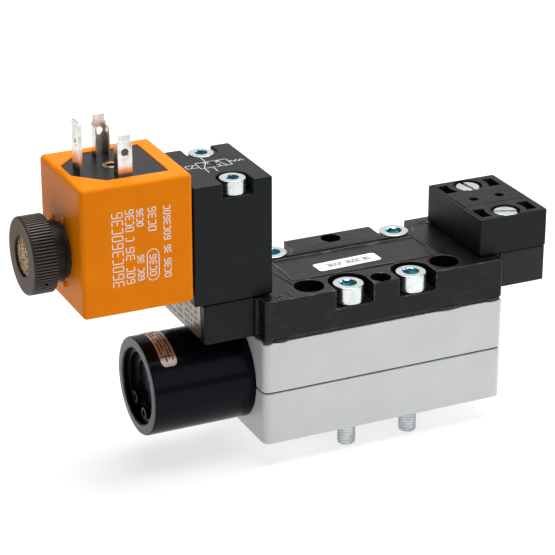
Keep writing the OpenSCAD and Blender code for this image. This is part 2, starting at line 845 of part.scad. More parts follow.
module cover_gasket() {
    color("black") difference() {
        box([cover_x0 + 0.6, -cover_w / 2 + 0.8, plate_z1],
            [cover_x1 - 0.6, cover_w / 2 - 0.8, pilot_z0]);
        for (y = [-cover_screw_y, cover_screw_y])
            post([cover_screw_x, y], plate_z1 - 1, pilot_z0 + 1, 2.2);
        post([44, 0], plate_z1 - 1, pilot_z0 + 1, 1.5);
    }
}

module cover_screws() {
    color("silver") for (y = [-cover_screw_y, cover_screw_y], angle = [y > 0 ? -83 : -24])
        translate([cover_screw_x, y, 0]) difference() {
            union() {
                translate([0, 0, cover_seat_z]) cylinder(h = 2.6, r = 3.5);
                translate([0, 0, extension_z0 + 2]) cylinder(h = cover_seat_z - extension_z0 - 2,
                    r = 1.95);
            }
            rotate([0, 0, angle]) box([-5, -0.55, cover_seat_z + 1.5], [5, 0.55, cover_seat_z + 4]);
        }
}

body_lower();
body_upper();
body_seal();
port_seals();
plate_gasket();
top_plate();
plate_screws();
plate_label();
valve_sleeve();
sleeve_seals();
spool();
spool_seals();
pilot_piston();
piston_seal();
spring_seat();
return_spring();
spring_housing();
housing_seal();
end_disc();
retaining_ring();
housing_label();
pilot_adapter();
adapter_gasket();
adapter_label();
end_extension();
extension_gasket();
end_screws();
pilot_body();
pilot_gasket();
pilot_screws();
pilot_nozzle();
armature_tube();
tube_seal();
fixed_core();
plunger();
plunger_disc();
plunger_spring();
coil_housing();
coil_yoke();
coil_bobbin();
coil_winding();
connector_base();
connector_insert();
earth_terminal();
front_terminal();
rear_terminal();
coil_washer();
knurled_nut();
nut_filter();
cover_block();
cover_gasket();
cover_screws();
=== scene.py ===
"""Solenoid directional valve: finished pieces round the fixed frame, their finishes and a small studio."""

import logging
import math
from contextlib import contextmanager
from dataclasses import dataclass, field
from enum import Enum
from functools import cache
from typing import Callable, Iterator, Optional, Sequence, Union

import bpy
from mathutils import Matrix, Vector


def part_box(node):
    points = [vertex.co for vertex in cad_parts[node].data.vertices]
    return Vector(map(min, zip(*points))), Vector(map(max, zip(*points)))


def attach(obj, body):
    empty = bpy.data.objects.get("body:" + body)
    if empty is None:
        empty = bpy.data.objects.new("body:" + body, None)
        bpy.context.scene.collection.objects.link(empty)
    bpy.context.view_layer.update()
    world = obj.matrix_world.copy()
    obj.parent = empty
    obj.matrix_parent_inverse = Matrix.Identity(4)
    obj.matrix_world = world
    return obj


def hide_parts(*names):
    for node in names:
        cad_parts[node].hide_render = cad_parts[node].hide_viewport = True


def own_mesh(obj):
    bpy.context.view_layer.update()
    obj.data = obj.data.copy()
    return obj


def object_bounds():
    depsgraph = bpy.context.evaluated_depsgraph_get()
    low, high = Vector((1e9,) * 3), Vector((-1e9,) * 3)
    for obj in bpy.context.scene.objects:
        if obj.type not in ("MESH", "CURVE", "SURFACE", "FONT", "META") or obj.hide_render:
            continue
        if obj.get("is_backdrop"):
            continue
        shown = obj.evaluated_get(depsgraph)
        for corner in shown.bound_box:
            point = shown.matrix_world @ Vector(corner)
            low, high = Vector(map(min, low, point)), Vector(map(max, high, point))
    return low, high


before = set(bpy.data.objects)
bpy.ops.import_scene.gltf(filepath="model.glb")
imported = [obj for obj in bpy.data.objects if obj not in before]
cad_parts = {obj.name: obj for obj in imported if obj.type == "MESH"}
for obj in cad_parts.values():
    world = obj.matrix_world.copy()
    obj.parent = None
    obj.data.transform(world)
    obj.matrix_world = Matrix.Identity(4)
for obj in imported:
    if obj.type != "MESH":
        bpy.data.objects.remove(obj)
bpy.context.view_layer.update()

log = logging.getLogger("valve")

MM = 0.001
SPOOL_AXIS = (0.0, 15.4 * MM)
COIL_AXIS = (0.0, 58 * MM)
Colour = tuple[float, float, float]
Point = tuple[float, float, float]
Step = tuple[float, float]
Patch = tuple[float, float, float, float]
Piece = bpy.types.Object


# --------------------------------------------------------------------------- shader maths


class Value:
    """A number in a material's node tree. Arithmetic on it adds Math nodes."""

    def __init__(self, shader: "Shader", socket: bpy.types.NodeSocket) -> None:
        """Wraps one output socket.

        Args:
            shader: The material that the socket belongs to.
            socket: The socket that carries the number.
        """
        self.shader = shader
        self.socket = socket

    def _maths(self, operation: str, first: "Number", second: "Number") -> "Value":
        """Adds one Math node.

        Args:
            operation: The Math node's operation.
            first: Its first number.
            second: Its second number.

        Returns:
            The node's result.
        """
        node = self.shader.node("ShaderNodeMath", {"operation": operation}, {0: first, 1: second})
        return Value(self.shader, node.outputs[0])

    def __add__(self, other: "Number") -> "Value":
        """self + other."""
        return self._maths("ADD", self, other)

    def __radd__(self, other: "Number") -> "Value":
        """other + self."""
        return self._maths("ADD", other, self)

    def __sub__(self, other: "Number") -> "Value":
        """self - other."""
        return self._maths("SUBTRACT", self, other)

    def __rsub__(self, other: "Number") -> "Value":
        """other - self."""
        return self._maths("SUBTRACT", other, self)

    def __mul__(self, other: "Number") -> "Value":
        """self * other."""
        return self._maths("MULTIPLY", self, other)

    def __rmul__(self, other: "Number") -> "Value":
        """other * self."""
        return self._maths("MULTIPLY", other, self)

    def within(self, low: float, high: float) -> "Value":
        """Stretches the stretch from low to high over 0 to 1, and clamps the rest.

        Args:
            low: The value that becomes 0.
            high: The value that becomes 1.

        Returns:
            The stretched value.
        """
        node = self.shader.node("ShaderNodeMapRange", {}, {0: self, 1: low, 2: high, 3: 0.0, 4: 1.0})
        return Value(self.shader, node.outputs[0])


Number = Union[Value, float]


class Graph:
    """A node tree in which one method adds every node."""

    def __init__(self, owner: Union[bpy.types.Material, bpy.types.World]) -> None:
        """Opens the node tree of a material or a world.

        Args:
            owner: The material or the world.
        """
        owner.use_nodes = True
        self.tree = owner.node_tree

    def node(self, kind: str, settings: dict, inputs: dict) -> bpy.types.Node:
        """Adds a node.

        Args:
            kind: The node's type.
            settings: Attributes to set first.
            inputs: Socket names or numbers, with a Value, a socket or a constant for each.

        Returns:
            The new node.
        """
        node = self.tree.nodes.new(kind)
        for key, setting in settings.items():
            setattr(node, key, setting)
        for key, given in inputs.items():
            self.connect(node.inputs[key], given)
        return node

    def connect(self, socket: bpy.types.NodeSocket, given: object) -> None:
        """Links or sets one input socket.

        Args:
            socket: The input.
            given: A Value, a socket, a colour or a number.
        """
        if isinstance(given, Value):
            self.tree.links.new(given.socket, socket)
        elif isinstance(given, bpy.types.NodeSocket):
            self.tree.links.new(given, socket)
        elif isinstance(given, tuple) and len(given) == 3 and socket.type == "RGBA":
            socket.default_value = (*given, 1.0)
        else:
            socket.default_value = given


class Shader(Graph):
    """A material with one Principled shader and the patterns that feed it."""

    def __init__(self, name: str) -> None:
        """Starts an empty material.

        Args:
            name: The material's name.
        """
        self.material = bpy.data.materials.new(name + "_look")
        super().__init__(self.material)
        self.surface = self.tree.nodes["Principled BSDF"]
        self.coordinates = self.node("ShaderNodeTexCoord", {}, {}).outputs["Object"]

    def place(self, stretch: Point) -> bpy.types.NodeSocket:
        """Object coordinates, stretched along the axes.

        Args:
            stretch: The factor for each axis.

        Returns:
            The vector socket.
        """
        mapping = self.node("ShaderNodeMapping", {}, {"Vector": self.coordinates, "Scale": stretch})
        return mapping.outputs["Vector"]

    def noise(self, size: float, detail: float = 2.0, stretch: Optional[Point] = None) -> Value:
        """Soft noise on the object's own coordinates.

        Args:
            size: The size of its features in metres.
            detail: How many finer layers it has.
            stretch: Factors for the axes, for brushed or drawn surfaces.

        Returns:
            The noise, around 0.5.
        """
        vector = self.place(stretch) if stretch else self.coordinates
        node = self.node("ShaderNodeTexNoise", {}, {"Vector": vector, "Scale": 1.0 / size, "Detail": detail})
        return Value(self, node.outputs["Fac"])

    def cells(self, size: float) -> Value:
        """Distance to the nearest of many scattered points, for grains and pores.

        Args:
            size: The grains' size in metres.

        Returns:
            The distance.
        """
        node = self.node("ShaderNodeTexVoronoi", {}, {"Vector": self.coordinates, "Scale": 1.0 / size})
        return Value(self, node.outputs["Distance"])

    def mix(self, factor: Number, first: object, second: object) -> bpy.types.NodeSocket:
        """Mixes two colours.

        Args:
            factor: 0 for the first colour and 1 for the second.
            first: A colour or a socket.
            second: A colour or a socket.

        Returns:
            The mixed colour's socket.
        """
        node = self.node("ShaderNodeMix", {"data_type": "RGBA"}, {0: factor, 6: first, 7: second})
        return node.outputs[2]

    def relief(self, height: Number, distance: float) -> None:
        """Gives the surface a fine relief.

        Args:
            height: The height, from 0 to 1.
            distance: What a height of 1 measures, in metres.
        """
        bump = self.node("ShaderNodeBump", {}, {"Height": height, "Distance": distance, "Strength": 1.0})
        self.feed(Normal=bump.outputs["Normal"])

    def feed(self, **sockets: object) -> None:
        """Feeds inputs of the Principled shader; an underscore stands for a space."""
        for name, given in sockets.items():
            self.connect(self.surface.inputs[name.replace("_", " ")], given)


# --------------------------------------------------------------------------- finishes


def shade(colour: Colour, factor: float) -> Colour:
    """A colour made darker or lighter.

    Args:
        colour: The colour.
        factor: What each of its parts is multiplied by.

    Returns:
        The new colour, each part at most 1.
    """
    return tuple(min(1.0, part * factor) for part in colour)


@dataclass(frozen=True)
class Moulded:
    """Moulded plastic: a fine eroded grain, slow shade changes and a few rubbed patches."""

    name: str
    colour: Colour
    roughness: float = 0.45
    grain: float = 0.16 * MM
    depth: float = 0.012 * MM
    spread: float = 0.14
    rubbed: float = 0.08
    gloss: float = 0.25

    def make(self) -> bpy.types.Material:
        """Builds the material.

        Returns:
            The material.
        """
        shader = Shader(self.name)
        slow = shader.noise(9 * MM, 3)
        fine = shader.noise(self.grain, 3)
        scuffs = shader.noise(2.2 * MM, 6, (1.0, 1.0, 2.6)).within(0.56, 0.74)
        base = shader.mix(slow.within(0.3, 0.7), shade(self.colour, 1 - self.spread),
                          shade(self.colour, 1 + self.spread))
        speckled = shader.mix(fine.within(0.45, 0.75) * 0.35, base, shade(self.colour, 1.0 + 2 * self.spread))
        shader.feed(Base_Color=speckled, Specular_IOR_Level=self.gloss)
        shader.feed(Roughness=self.roughness + (slow - 0.5) * 0.16 - scuffs * self.rubbed)
        shader.relief(fine * 0.7 + shader.noise(0.9 * MM, 2) * 0.5, self.depth)
        return shader.material


@dataclass(frozen=True)
class Coated:
    """A dark conversion coat on die-cast metal: cloudy, with pinholes darkened by painted shade, and rubbed
    high spots.
    """

    name: str
    colour: Colour
    rubbed_colour: Colour
    roughness: float = 0.42
    metallic: float = 0.25
    wear: float = 0.5
    depth: float = 0.02 * MM
    gloss: float = 0.25

    def make(self) -> bpy.types.Material:
        """Builds the material.

        Returns:
            The material.
        """
        shader = Shader(self.name)
        cloud = shader.noise(6 * MM, 4)
        grit = shader.noise(0.22 * MM, 4)
        streaks = shader.noise(1.4 * MM, 5, (0.35, 1.6, 1.6))
        pits = shader.cells(1.1 * MM).within(0.12, 0.02) * cloud.within(0.5, 0.62)
        rub = (streaks * 0.6 + cloud * 0.6).within(0.62, 0.86) * self.wear
        base = shader.mix(cloud.within(0.3, 0.7), shade(self.colour, 0.82), shade(self.colour, 1.2))
        rubbed = shader.mix(rub, base, self.rubbed_colour)
        # Painted shade: the pinholes are darkened to 40% of the coat's colour.
        shader.feed(Base_Color=shader.mix(pits, rubbed, shade(self.colour, 0.4)), Metallic=self.metallic)
        shader.feed(Specular_IOR_Level=self.gloss)
        shader.feed(Roughness=self.roughness + (grit - 0.5) * 0.22 - rub * 0.12)
        shader.relief(grit * 0.6 + cloud * 0.6 - pits * 0.8, self.depth)
        return shader.material


@dataclass(frozen=True)
class Painted:
    """Stoved paint on a casting: a soft orange-peel skin, faint dust specks and slow shade changes."""

    name: str
    colour: Colour
    roughness: float = 0.42

    def make(self) -> bpy.types.Material:
        """Builds the material.

        Returns:
            The material.
        """
        shader = Shader(self.name)
        slow = shader.noise(14 * MM, 3)
        peel = shader.noise(0.7 * MM, 2)
        specks = shader.cells(1.9 * MM).within(0.07, 0.02) * shader.noise(5 * MM, 2).within(0.52, 0.6)
        base = shader.mix(slow.within(0.3, 0.7), shade(self.colour, 0.955), shade(self.colour, 1.03))
        shader.feed(Base_Color=shader.mix(specks * 0.5, base, shade(self.colour, 0.45)))
        shader.feed(Roughness=self.roughness + (peel - 0.5) * 0.14 + (slow - 0.5) * 0.1)
        shader.feed(Coat_Weight=0.08, Coat_Roughness=0.3)
        shader.relief(peel + shader.noise(0.12 * MM, 2) * 0.25, 0.016 * MM)
        return shader.material


@dataclass(frozen=True)
class Metal:
    """Bare or plated metal: fine drawn lines, dull clouds and small dents in the shine."""

    name: str
    colour: Colour
    roughness: float = 0.24
    stretch: Point = (1.0, 1.0, 0.12)
    line: float = 0.12 * MM
    depth: float = 0.006 * MM
    tint: Optional[Colour] = None

    def make(self) -> bpy.types.Material:
        """Builds the material.

        Returns:
            The material.
        """
        shader = Shader(self.name)
        lines = shader.noise(self.line, 3, self.stretch)
        cloud = shader.noise(2.4 * MM, 4)
        dents = shader.noise(0.5 * MM, 2)
        other = self.tint or shade(self.colour, 0.78)
        shader.feed(Base_Color=shader.mix(cloud.within(0.42, 0.72), self.colour, other), Metallic=1.0)
        shader.feed(Roughness=self.roughness + (lines - 0.5) * 0.16 + (cloud - 0.5) * 0.2)
        shader.relief(lines + dents * 0.8, self.depth)
        return shader.material


@dataclass(frozen=True)
class Rubber:
    """Seal rubber: nearly black, dull, with a dusty bloom."""

    name: str
    colour: Colour = (0.012, 0.012, 0.013)

    def make(self) -> bpy.types.Material:
        """Builds the material.

        Returns:
            The material.
        """
        shader = Shader(self.name)
        bloom = shader.noise(1.6 * MM, 5)
        grit = shader.noise(0.1 * MM, 2)
        shader.feed(Base_Color=shader.mix(bloom.within(0.45, 0.75), self.colour, shade(self.colour, 3.2)))
        shader.feed(Roughness=0.62 + (bloom - 0.5) * 0.3, Specular_IOR_Level=0.35)
        shader.relief(grit + bloom * 0.5, 0.012 * MM)
        return shader.material


@dataclass(frozen=True)
class Sintered:
    """Bronze grains pressed together, with painted shade darkening the pores between them."""

    name: str
    colour: Colour = (0.66, 0.42, 0.17)
    grain: float = 0.5 * MM

    def make(self) -> bpy.types.Material:
        """Builds the material.

        Returns:
            The material.
        """
        shader = Shader(self.name)
        grains = shader.cells(self.grain)
        pores = grains.within(0.36, 0.62)
        cloud = shader.noise(2 * MM, 3)
        base = shader.mix(cloud.within(0.35, 0.7), self.colour, shade(self.colour, 0.62))
        # Painted shade: the pores between the grains are darkened to near-black bronze.
        shader.feed(Base_Color=shader.mix(pores * 0.92, base, shade(self.colour, 0.08)), Metallic=0.5)
        shader.feed(Roughness=0.38 + pores * 0.3)
        shader.relief(1 - grains, 0.12 * MM)
        return shader.material


@dataclass(frozen=True)
class Film:
    """A printed film or foil: a smooth skin with faint creases."""

    name: str
    colour: Colour
    roughness: float = 0.4
    metallic: float = 0.0
    crease: float = 0.01 * MM

    def make(self) -> bpy.types.Material:
        """Builds the material.

        Returns:
            The material.
        """
        shader = Shader(self.name)
        crumple = shader.noise(3.5 * MM, 3)
        fibre = shader.noise(0.15 * MM, 3)
        base = shader.mix(crumple.within(0.35, 0.68), shade(self.colour, 0.9), shade(self.colour, 1.06))
        shader.feed(Base_Color=base, Metallic=self.metallic)
        shader.feed(Roughness=self.roughness + (fibre - 0.5) * 0.12 + (crumple - 0.5) * 0.12)
        shader.relief(crumple * 2 + fibre * 0.3, self.crease)
        return shader.material


@dataclass(frozen=True)
class Ink:
    """Printing ink, thin in places."""

    name: str
    colour: Colour
    ground: Colour

    def make(self) -> bpy.types.Material:
        """Builds the material.

        Returns:
            The material.
        """
        shader = Shader(self.name)
        thin = shader.noise(0.35 * MM, 4).within(0.52, 0.8)
        shader.feed(Base_Color=shader.mix(thin * 0.55, self.colour, self.ground))
        shader.feed(Roughness=0.5 + thin * 0.15)
        shader.relief(thin, 0.004 * MM)
        return shader.material


@dataclass(frozen=True)
class Wound:
    """Enamelled copper wire laid side by side round the X axis, with painted shade in the grooves between the
    turns.
    """

    name: str
    colour: Colour = (0.62, 0.22, 0.08)
    wire: float = 0.35 * MM

    def make(self) -> bpy.types.Material:
        """Builds the material.

        Returns:
            The material.
        """
        shader = Shader(self.name)
        wave = shader.node("ShaderNodeTexWave", {"bands_direction": "X"},
                           {"Vector": shader.coordinates, "Scale": 0.314 / self.wire, "Distortion": 0.4})
        turns = Value(shader, wave.outputs["Fac"])
        # Painted shade: the copper is darkened in bands that follow the grooves between neighbouring turns.
        shader.feed(Base_Color=shader.mix(turns, shade(self.colour, 0.25), self.colour), Metallic=0.8)
        shader.feed(Roughness=0.32 + shader.noise(1 * MM, 3) * 0.15)
        shader.relief(turns, 0.1 * MM)
        return shader.material


class Finish(Enum):
    """Every finish on the valve."""

    GREY_PAINT = Painted("grey_paint", (0.595, 0.61, 0.615))
    BLACK_COATING = Coated("black_coating", (0.0045, 0.0034, 0.003), rubbed_colour=(0.03, 0.0225, 0.02),
                           roughness=0.36, metallic=0.1, wear=0.5, gloss=0.24)
    WORN_EDGE = Coated("worn_edge", (0.03, 0.0245, 0.0215), rubbed_colour=(0.3, 0.26, 0.235),
                       roughness=0.34, metallic=0.3, wear=0.75)
    CAST_MARK = Coated("cast_mark", (0.03, 0.0245, 0.022), rubbed_colour=(0.2, 0.17, 0.15),
                       roughness=0.36, metallic=0.2, wear=0.8)
    BLACK_ANODISED = Coated("black_anodised", (0.0022, 0.0034, 0.0058), rubbed_colour=(0.006, 0.008, 0.012),
                            roughness=0.2, metallic=0.0, wear=0.2, depth=0.006 * MM, gloss=0.07)
    RIM_METAL = Metal("rim_metal", (0.055, 0.059, 0.063), 0.36, stretch=(0.3, 1.0, 1.0))
    ZINC_STEEL = Metal("zinc_steel", (0.72, 0.745, 0.75), 0.28, stretch=(1.0, 1.0, 1.0), line=0.5 * MM,
                       depth=0.02 * MM, tint=(0.56, 0.6, 0.61))
    ZINC_BLUE = Metal("zinc_blue", (0.34, 0.66, 0.74), 0.16, tint=(0.5, 0.72, 0.7))
    SPRING_STEEL = Metal("spring_steel", (0.42, 0.42, 0.43), 0.28)
    DARK_STEEL = Metal("dark_steel", (0.02, 0.0215, 0.024), 0.4)
    MACHINED_METAL = Metal("machined_metal", (0.72, 0.73, 0.74), 0.22, stretch=(1.0, 0.15, 0.15))
    STAINLESS_STEEL = Metal("stainless_steel", (0.66, 0.65, 0.63), 0.24, stretch=(1.0, 0.15, 0.15))
    YOKE_STEEL = Metal("yoke_steel", (0.5, 0.5, 0.49), 0.4)
    BRASS = Metal("brass", (0.78, 0.54, 0.24), 0.26)
    TIN_PLATE = Metal("tin_plate", (0.74, 0.73, 0.70), 0.26, stretch=(1.0, 1.0, 0.08),
                      tint=(0.5, 0.47, 0.43))
    COPPER_WIRE = Wound("copper_wire")
    SINTERED_BRONZE = Sintered("sintered_bronze")
    BLACK_RUBBER = Rubber("black_rubber")
    PISTON_PLASTIC = Moulded("piston_plastic", (0.55, 0.52, 0.42), 0.4)
    BLACK_PLASTIC = Moulded("black_plastic", (0.0034, 0.0056, 0.0076), 0.38, rubbed=0.1, gloss=0.16)
    EXTENSION_PLASTIC = Moulded("extension_plastic", (0.017, 0.0145, 0.0145), 0.42, gloss=0.2)
    COVER_PLASTIC = Moulded("cover_plastic", (0.0072, 0.0076, 0.0088), 0.5, grain=0.2 * MM,
                            depth=0.02 * MM, gloss=0.18)
    CONNECTOR_PLASTIC = Moulded("connector_plastic", (0.0045, 0.0047, 0.0052), 0.34, gloss=0.2)
    ORANGE_PLASTIC = Moulded("orange_plastic", (0.76, 0.2, 0.001), 0.36, grain=0.3 * MM, depth=0.004 * MM,
                             spread=0.05, rubbed=0.05, gloss=0.045)
    NUT_PLASTIC = Moulded("nut_plastic", (0.021, 0.0145, 0.0115), 0.44, grain=0.14 * MM,
                          depth=0.012 * MM, spread=0.2, gloss=0.3)
    NUT_FACE = Moulded("nut_face", (0.095, 0.058, 0.037), 0.6, grain=0.3 * MM, depth=0.03 * MM,
                       spread=0.3, rubbed=0.03, gloss=0.3)
    NUT_CREST = Moulded("nut_crest", (0.055, 0.038, 0.029), 0.42, grain=0.14 * MM, depth=0.012 * MM,
                        spread=0.3, gloss=0.4)
    WHITE_LABEL = Film("white_label", (0.83, 0.83, 0.81), 0.45)
    FOIL_LABEL = Film("foil_label", (0.56, 0.42, 0.36), 0.3, metallic=0.6, crease=0.05 * MM)
    DARK_FOIL = Film("dark_foil", (0.27, 0.235, 0.205), 0.24, metallic=0.7, crease=0.06 * MM)
    WHITE_INK = Ink("white_ink", (0.86, 0.85, 0.80), ground=(0.80, 0.36, 0.1))
    PALE_INK = Ink("pale_ink", (0.55, 0.56, 0.55), ground=(0.08, 0.085, 0.09))
    DARK_INK = Ink("dark_ink", (0.035, 0.03, 0.03), ground=(0.25, 0.22, 0.2))

    @cache
    def material(self) -> bpy.types.Material:
        """The finish's material, built the first time that it is asked for."""
        return self.value.make()


# --------------------------------------------------------------------------- the workbench


class Axis(Enum):
    """The axis that a turned piece is turned round."""

    X = "x"
    Z = "z"


FaceTest = Callable[[Vector, Vector], bool]
PointTest = Callable[[Vector], bool]
EdgeTest = Callable[[Vector, Vector], bool]


class Bench:
    """Hand-modelling steps that every sub-assembly shares."""

    @staticmethod
    def take(*pieces: Piece) -> Piece:
        """Selects only these pieces and makes the first one active.

        Args:
            pieces: The pieces to select.

        Returns:
            The first piece.
        """
        bpy.ops.object.select_all(action="DESELECT")
        for piece in pieces:
            piece.select_set(True)
        bpy.context.view_layer.objects.active = pieces[0]
        return pieces[0]

    @staticmethod
    @contextmanager
    def editing(piece: Piece, mode: str = "VERT") -> Iterator[None]:
        """Edit mode on one piece, for as long as the block runs.

        Args:
            piece: The piece.
            mode: What is selected by: VERT, EDGE or FACE.

        Yields:
            Nothing.
        """
        Bench.take(piece)
        bpy.ops.object.mode_set(mode="EDIT")
        bpy.ops.mesh.select_mode(type=mode)
        try:
            yield
        finally:
            bpy.ops.object.mode_set(mode="OBJECT")

    @staticmethod
    @contextmanager
    def points(piece: Piece, test: PointTest) -> Iterator[None]:
        """Edit mode with only the points selected that pass the test.

        Args:
            piece: The piece.
            test: Whether a point is selected.

        Yields:
            Nothing.
        """
        with Bench.editing(piece, "VERT"):
            bpy.ops.mesh.select_all(action="DESELECT")
        for vertex in piece.data.vertices:
            vertex.select = test(vertex.co)
        with Bench.editing(piece, "VERT"):
            yield

    @staticmethod
    @contextmanager
    def edges(piece: Piece, test: EdgeTest) -> Iterator[None]:
        """Edit mode with only the edges selected whose two ends pass the test.

        Args:
            piece: The piece.
            test: Whether an edge is selected.

        Yields:
            Nothing.
        """
        with Bench.editing(piece, "EDGE"):
            bpy.ops.mesh.select_all(action="DESELECT")
        for edge in piece.data.edges:
            edge.select = test(*(piece.data.vertices[i].co for i in edge.vertices))
        with Bench.editing(piece, "EDGE"):
            yield

    @staticmethod
    def settle(piece: Piece) -> Piece:
        """Puts a piece's place, turn and size into its mesh.

        Args:
            piece: The piece.

        Returns:
            The same piece.
        """
        Bench.take(piece)
        bpy.ops.object.transform_apply(location=True, rotation=True, scale=True)
        return piece

    @staticmethod
    def block(name: str, low: Sequence[float], high: Sequence[float]) -> Piece:
        """Starts a piece from a cube between two corners.

        Args:
            name: The piece's name.
            low: Its lowest corner.
            high: Its highest corner.

        Returns:
            The block.
        """
        bpy.ops.object.select_all(action="DESELECT")
        low, high = Vector(low), Vector(high)
        bpy.ops.mesh.primitive_cube_add(size=1.0, location=(low + high) / 2)
        piece = bpy.context.object
        piece.name = name
        piece.scale = high - low
        return Bench.settle(piece)

    @staticmethod
    def prism(name: str, outline: Sequence[Step], low: float, high: float) -> Piece:
        """Draws an outline from a circle's points and pushes it up into a prism.

        Args:
            name: The piece's name.
            outline: The corners, counter-clockwise, as (x, y).
            low: Its underside's height.
            high: Its top's height.

        Returns:
            The prism.
        """
        bpy.ops.object.select_all(action="DESELECT")
        bpy.ops.mesh.primitive_circle_add(vertices=len(outline), radius=1, fill_type="NGON")
        piece = bpy.context.object
        piece.name = name
        for vertex, (x, y) in zip(piece.data.vertices, outline):
            vertex.co = (x, y, low)
        with Bench.editing(piece):
            bpy.ops.mesh.select_all(action="SELECT")
            bpy.ops.mesh.extrude_region_move(TRANSFORM_OT_translate={"value": (0, 0, high - low)})
            bpy.ops.mesh.select_all(action="SELECT")
            bpy.ops.mesh.normals_make_consistent(inside=False)
        return piece

    @staticmethod
    def turned(name: str, steps: Sequence[Step], centre: Step = (0.0, 0.0), axis: Axis = Axis.Z,
               sides: int = 64, ring: bool = False) -> Piece:
        """Turns a piece: a circle is pushed along its axis and resized, step by step.

        Args:
            name: The piece's name.
            steps: Where along the axis each step stands, and its radius there.
            centre: Where the axis stands: (x, y) for an upright one and (y, z) for one along X.
            axis: The axis that the piece is turned round.
            sides: How many sides the circle has.
            ring: Whether the last step runs back into the first, round a hole.

        Returns:
            The turned piece.
        """
        bpy.ops.object.select_all(action="DESELECT")
        height, radius = steps[0]
        bpy.ops.mesh.primitive_circle_add(vertices=sides, radius=radius, location=(0, 0, height),
                                          fill_type="NOTHING" if ring else "NGON")
        piece = Bench.settle(bpy.context.object)
        piece.name = name
        with Bench.editing(piece):
            bpy.ops.mesh.select_all(action="SELECT")
            for next_height, next_radius in list(steps[1:]) + ([steps[0]] if ring else []):
                bpy.ops.mesh.extrude_region_move(
                    TRANSFORM_OT_translate={"value": (0, 0, next_height - height)})
                ratio = next_radius / radius
                bpy.ops.transform.resize(value=(ratio, ratio, 1), center_override=(0, 0, next_height))
                height, radius = next_height, next_radius
            bpy.ops.mesh.select_all(action="SELECT")
            bpy.ops.mesh.remove_doubles(threshold=1e-6)
            bpy.ops.mesh.normals_make_consistent(inside=False)
        if axis is Axis.X:
            piece.rotation_euler = (0, math.pi / 2, 0)
            piece.location = (0, centre[0], centre[1])
        else:
            piece.location = (centre[0], centre[1], 0)
        return Bench.settle(piece)

    @staticmethod
    def of_node(node: str, name: str, dissolve: bool = True) -> Piece:
        """A merged copy of a CAD node, to be finished further.

        Args:
            node: The node's name.
            name: The new piece's name.
            dissolve: Whether flat faces are dissolved into one.

        Returns:
            The copy.
        """
        piece = bpy.data.objects.new(name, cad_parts[node].data.copy())
        bpy.context.scene.collection.objects.link(piece)
        piece.data.materials.clear()
        Bench.take(piece)
        bpy.ops.mesh.customdata_custom_splitnormals_clear()
        with Bench.editing(piece):
            bpy.ops.mesh.select_all(action="SELECT")
            bpy.ops.mesh.remove_doubles(threshold=2e-6)
            if dissolve:
                bpy.ops.mesh.dissolve_limited(angle_limit=math.radians(0.8))
        return piece

    @staticmethod
    def modify(piece: Piece, kind: str, **settings: object) -> Piece:
        """Adds a modifier and applies it.

        Args:
            piece: The piece.
            kind: The modifier's type.
            settings: Its settings.

        Returns:
            The same piece.
        """
        Bench.take(piece)
        modifier = piece.modifiers.new(kind.lower(), kind)
        for key, setting in settings.items():
            setattr(modifier, key, setting)
        bpy.ops.object.modifier_apply(modifier=modifier.name)
        return piece

    @staticmethod
    def cut(piece: Piece, *tools: Piece, how: str = "DIFFERENCE") -> Piece:
        """Cuts tools out of a piece, or joins them to it, and clears them away.

        Args:
            piece: The piece.
            tools: Closed pieces to cut with.
            how: DIFFERENCE, UNION or INTERSECT.

        Returns:
            The same piece.
        """
        for tool in tools:
            Bench.modify(piece, "BOOLEAN", object=tool, operation=how, solver="EXACT")
            bpy.data.objects.remove(tool)
        return piece

    @staticmethod
    def soften(piece: Piece, width: float, segments: int = 2, edge_slot: int = -1) -> Piece:
        """Rounds a piece's edges of more than 32 degrees and smooths its shading.

        Args:
            piece: The piece.
            width: The width of the rounding in metres.
            segments: How many faces go round it.
            edge_slot: The material slot of the new faces, or -1 for their neighbours' one.

        Returns:
            The same piece.
        """
        while len(piece.data.materials) <= edge_slot:
            piece.data.materials.append(None)
        Bench.modify(piece, "BEVEL", width=width, segments=segments, limit_method="ANGLE",
                     angle_limit=math.radians(32), use_clamp_overlap=False, material=edge_slot,
                     miter_outer="MITER_ARC", harden_normals=False)
        return Bench.smooth(piece)

    @staticmethod
    def smooth(piece: Piece, angle: float = 38.0) -> Piece:
        """Shades a piece smooth across its flatter edges, with its large faces left flat.

        Args:
            piece: The piece.
            angle: Edges sharper than this many degrees stay sharp.

        Returns:
            The same piece.
        """
        Bench.take(piece)
        bpy.ops.object.shade_smooth_by_angle(angle=math.radians(angle))
        return Bench.modify(piece, "WEIGHTED_NORMAL", keep_sharp=True, weight=90)

    @staticmethod
    def copy(piece: Piece, name: str, change: Matrix) -> Piece:
        """Copies a piece with its own mesh.

        Args:
            piece: The piece to copy.
            name: The copy's name.
            change: Where the copy goes, relative to the piece.

        Returns:
            The copy.
        """
        Bench.take(piece)
        bpy.ops.object.duplicate(linked=False)
        twin = bpy.context.object
        twin.name = name
        twin.matrix_world = change
        return Bench.settle(twin)

    @staticmethod
    def copies(piece: Piece, name: str, changes: Sequence[Matrix]) -> list[Piece]:
        """Copies a piece to several places and clears the first one away.

        Args:
            piece: The piece to copy.
            name: The copies' name.
            changes: Where each copy goes.

        Returns:
            The copies.
        """
        twins = [Bench.copy(piece, name, change) for change in changes]
        bpy.data.objects.remove(piece)
        return twins

    @staticmethod
    def drill(piece: Piece, holes: Sequence[tuple[Matrix, float, float, float]]) -> Piece:
        """Drills round holes.

        Args:
            piece: The piece.
            holes: Where each hole's axis stands, where along it the hole starts, its length and its radius.

        Returns:
            The same piece.
        """
        tools = []
        for place, start, length, radius in holes:
            tool = Bench.turned("drill", [(start, radius), (start + length, radius)], sides=24)
            tool.data.transform(place)
            tools.append(tool)
        return Bench.cut(piece, *tools)

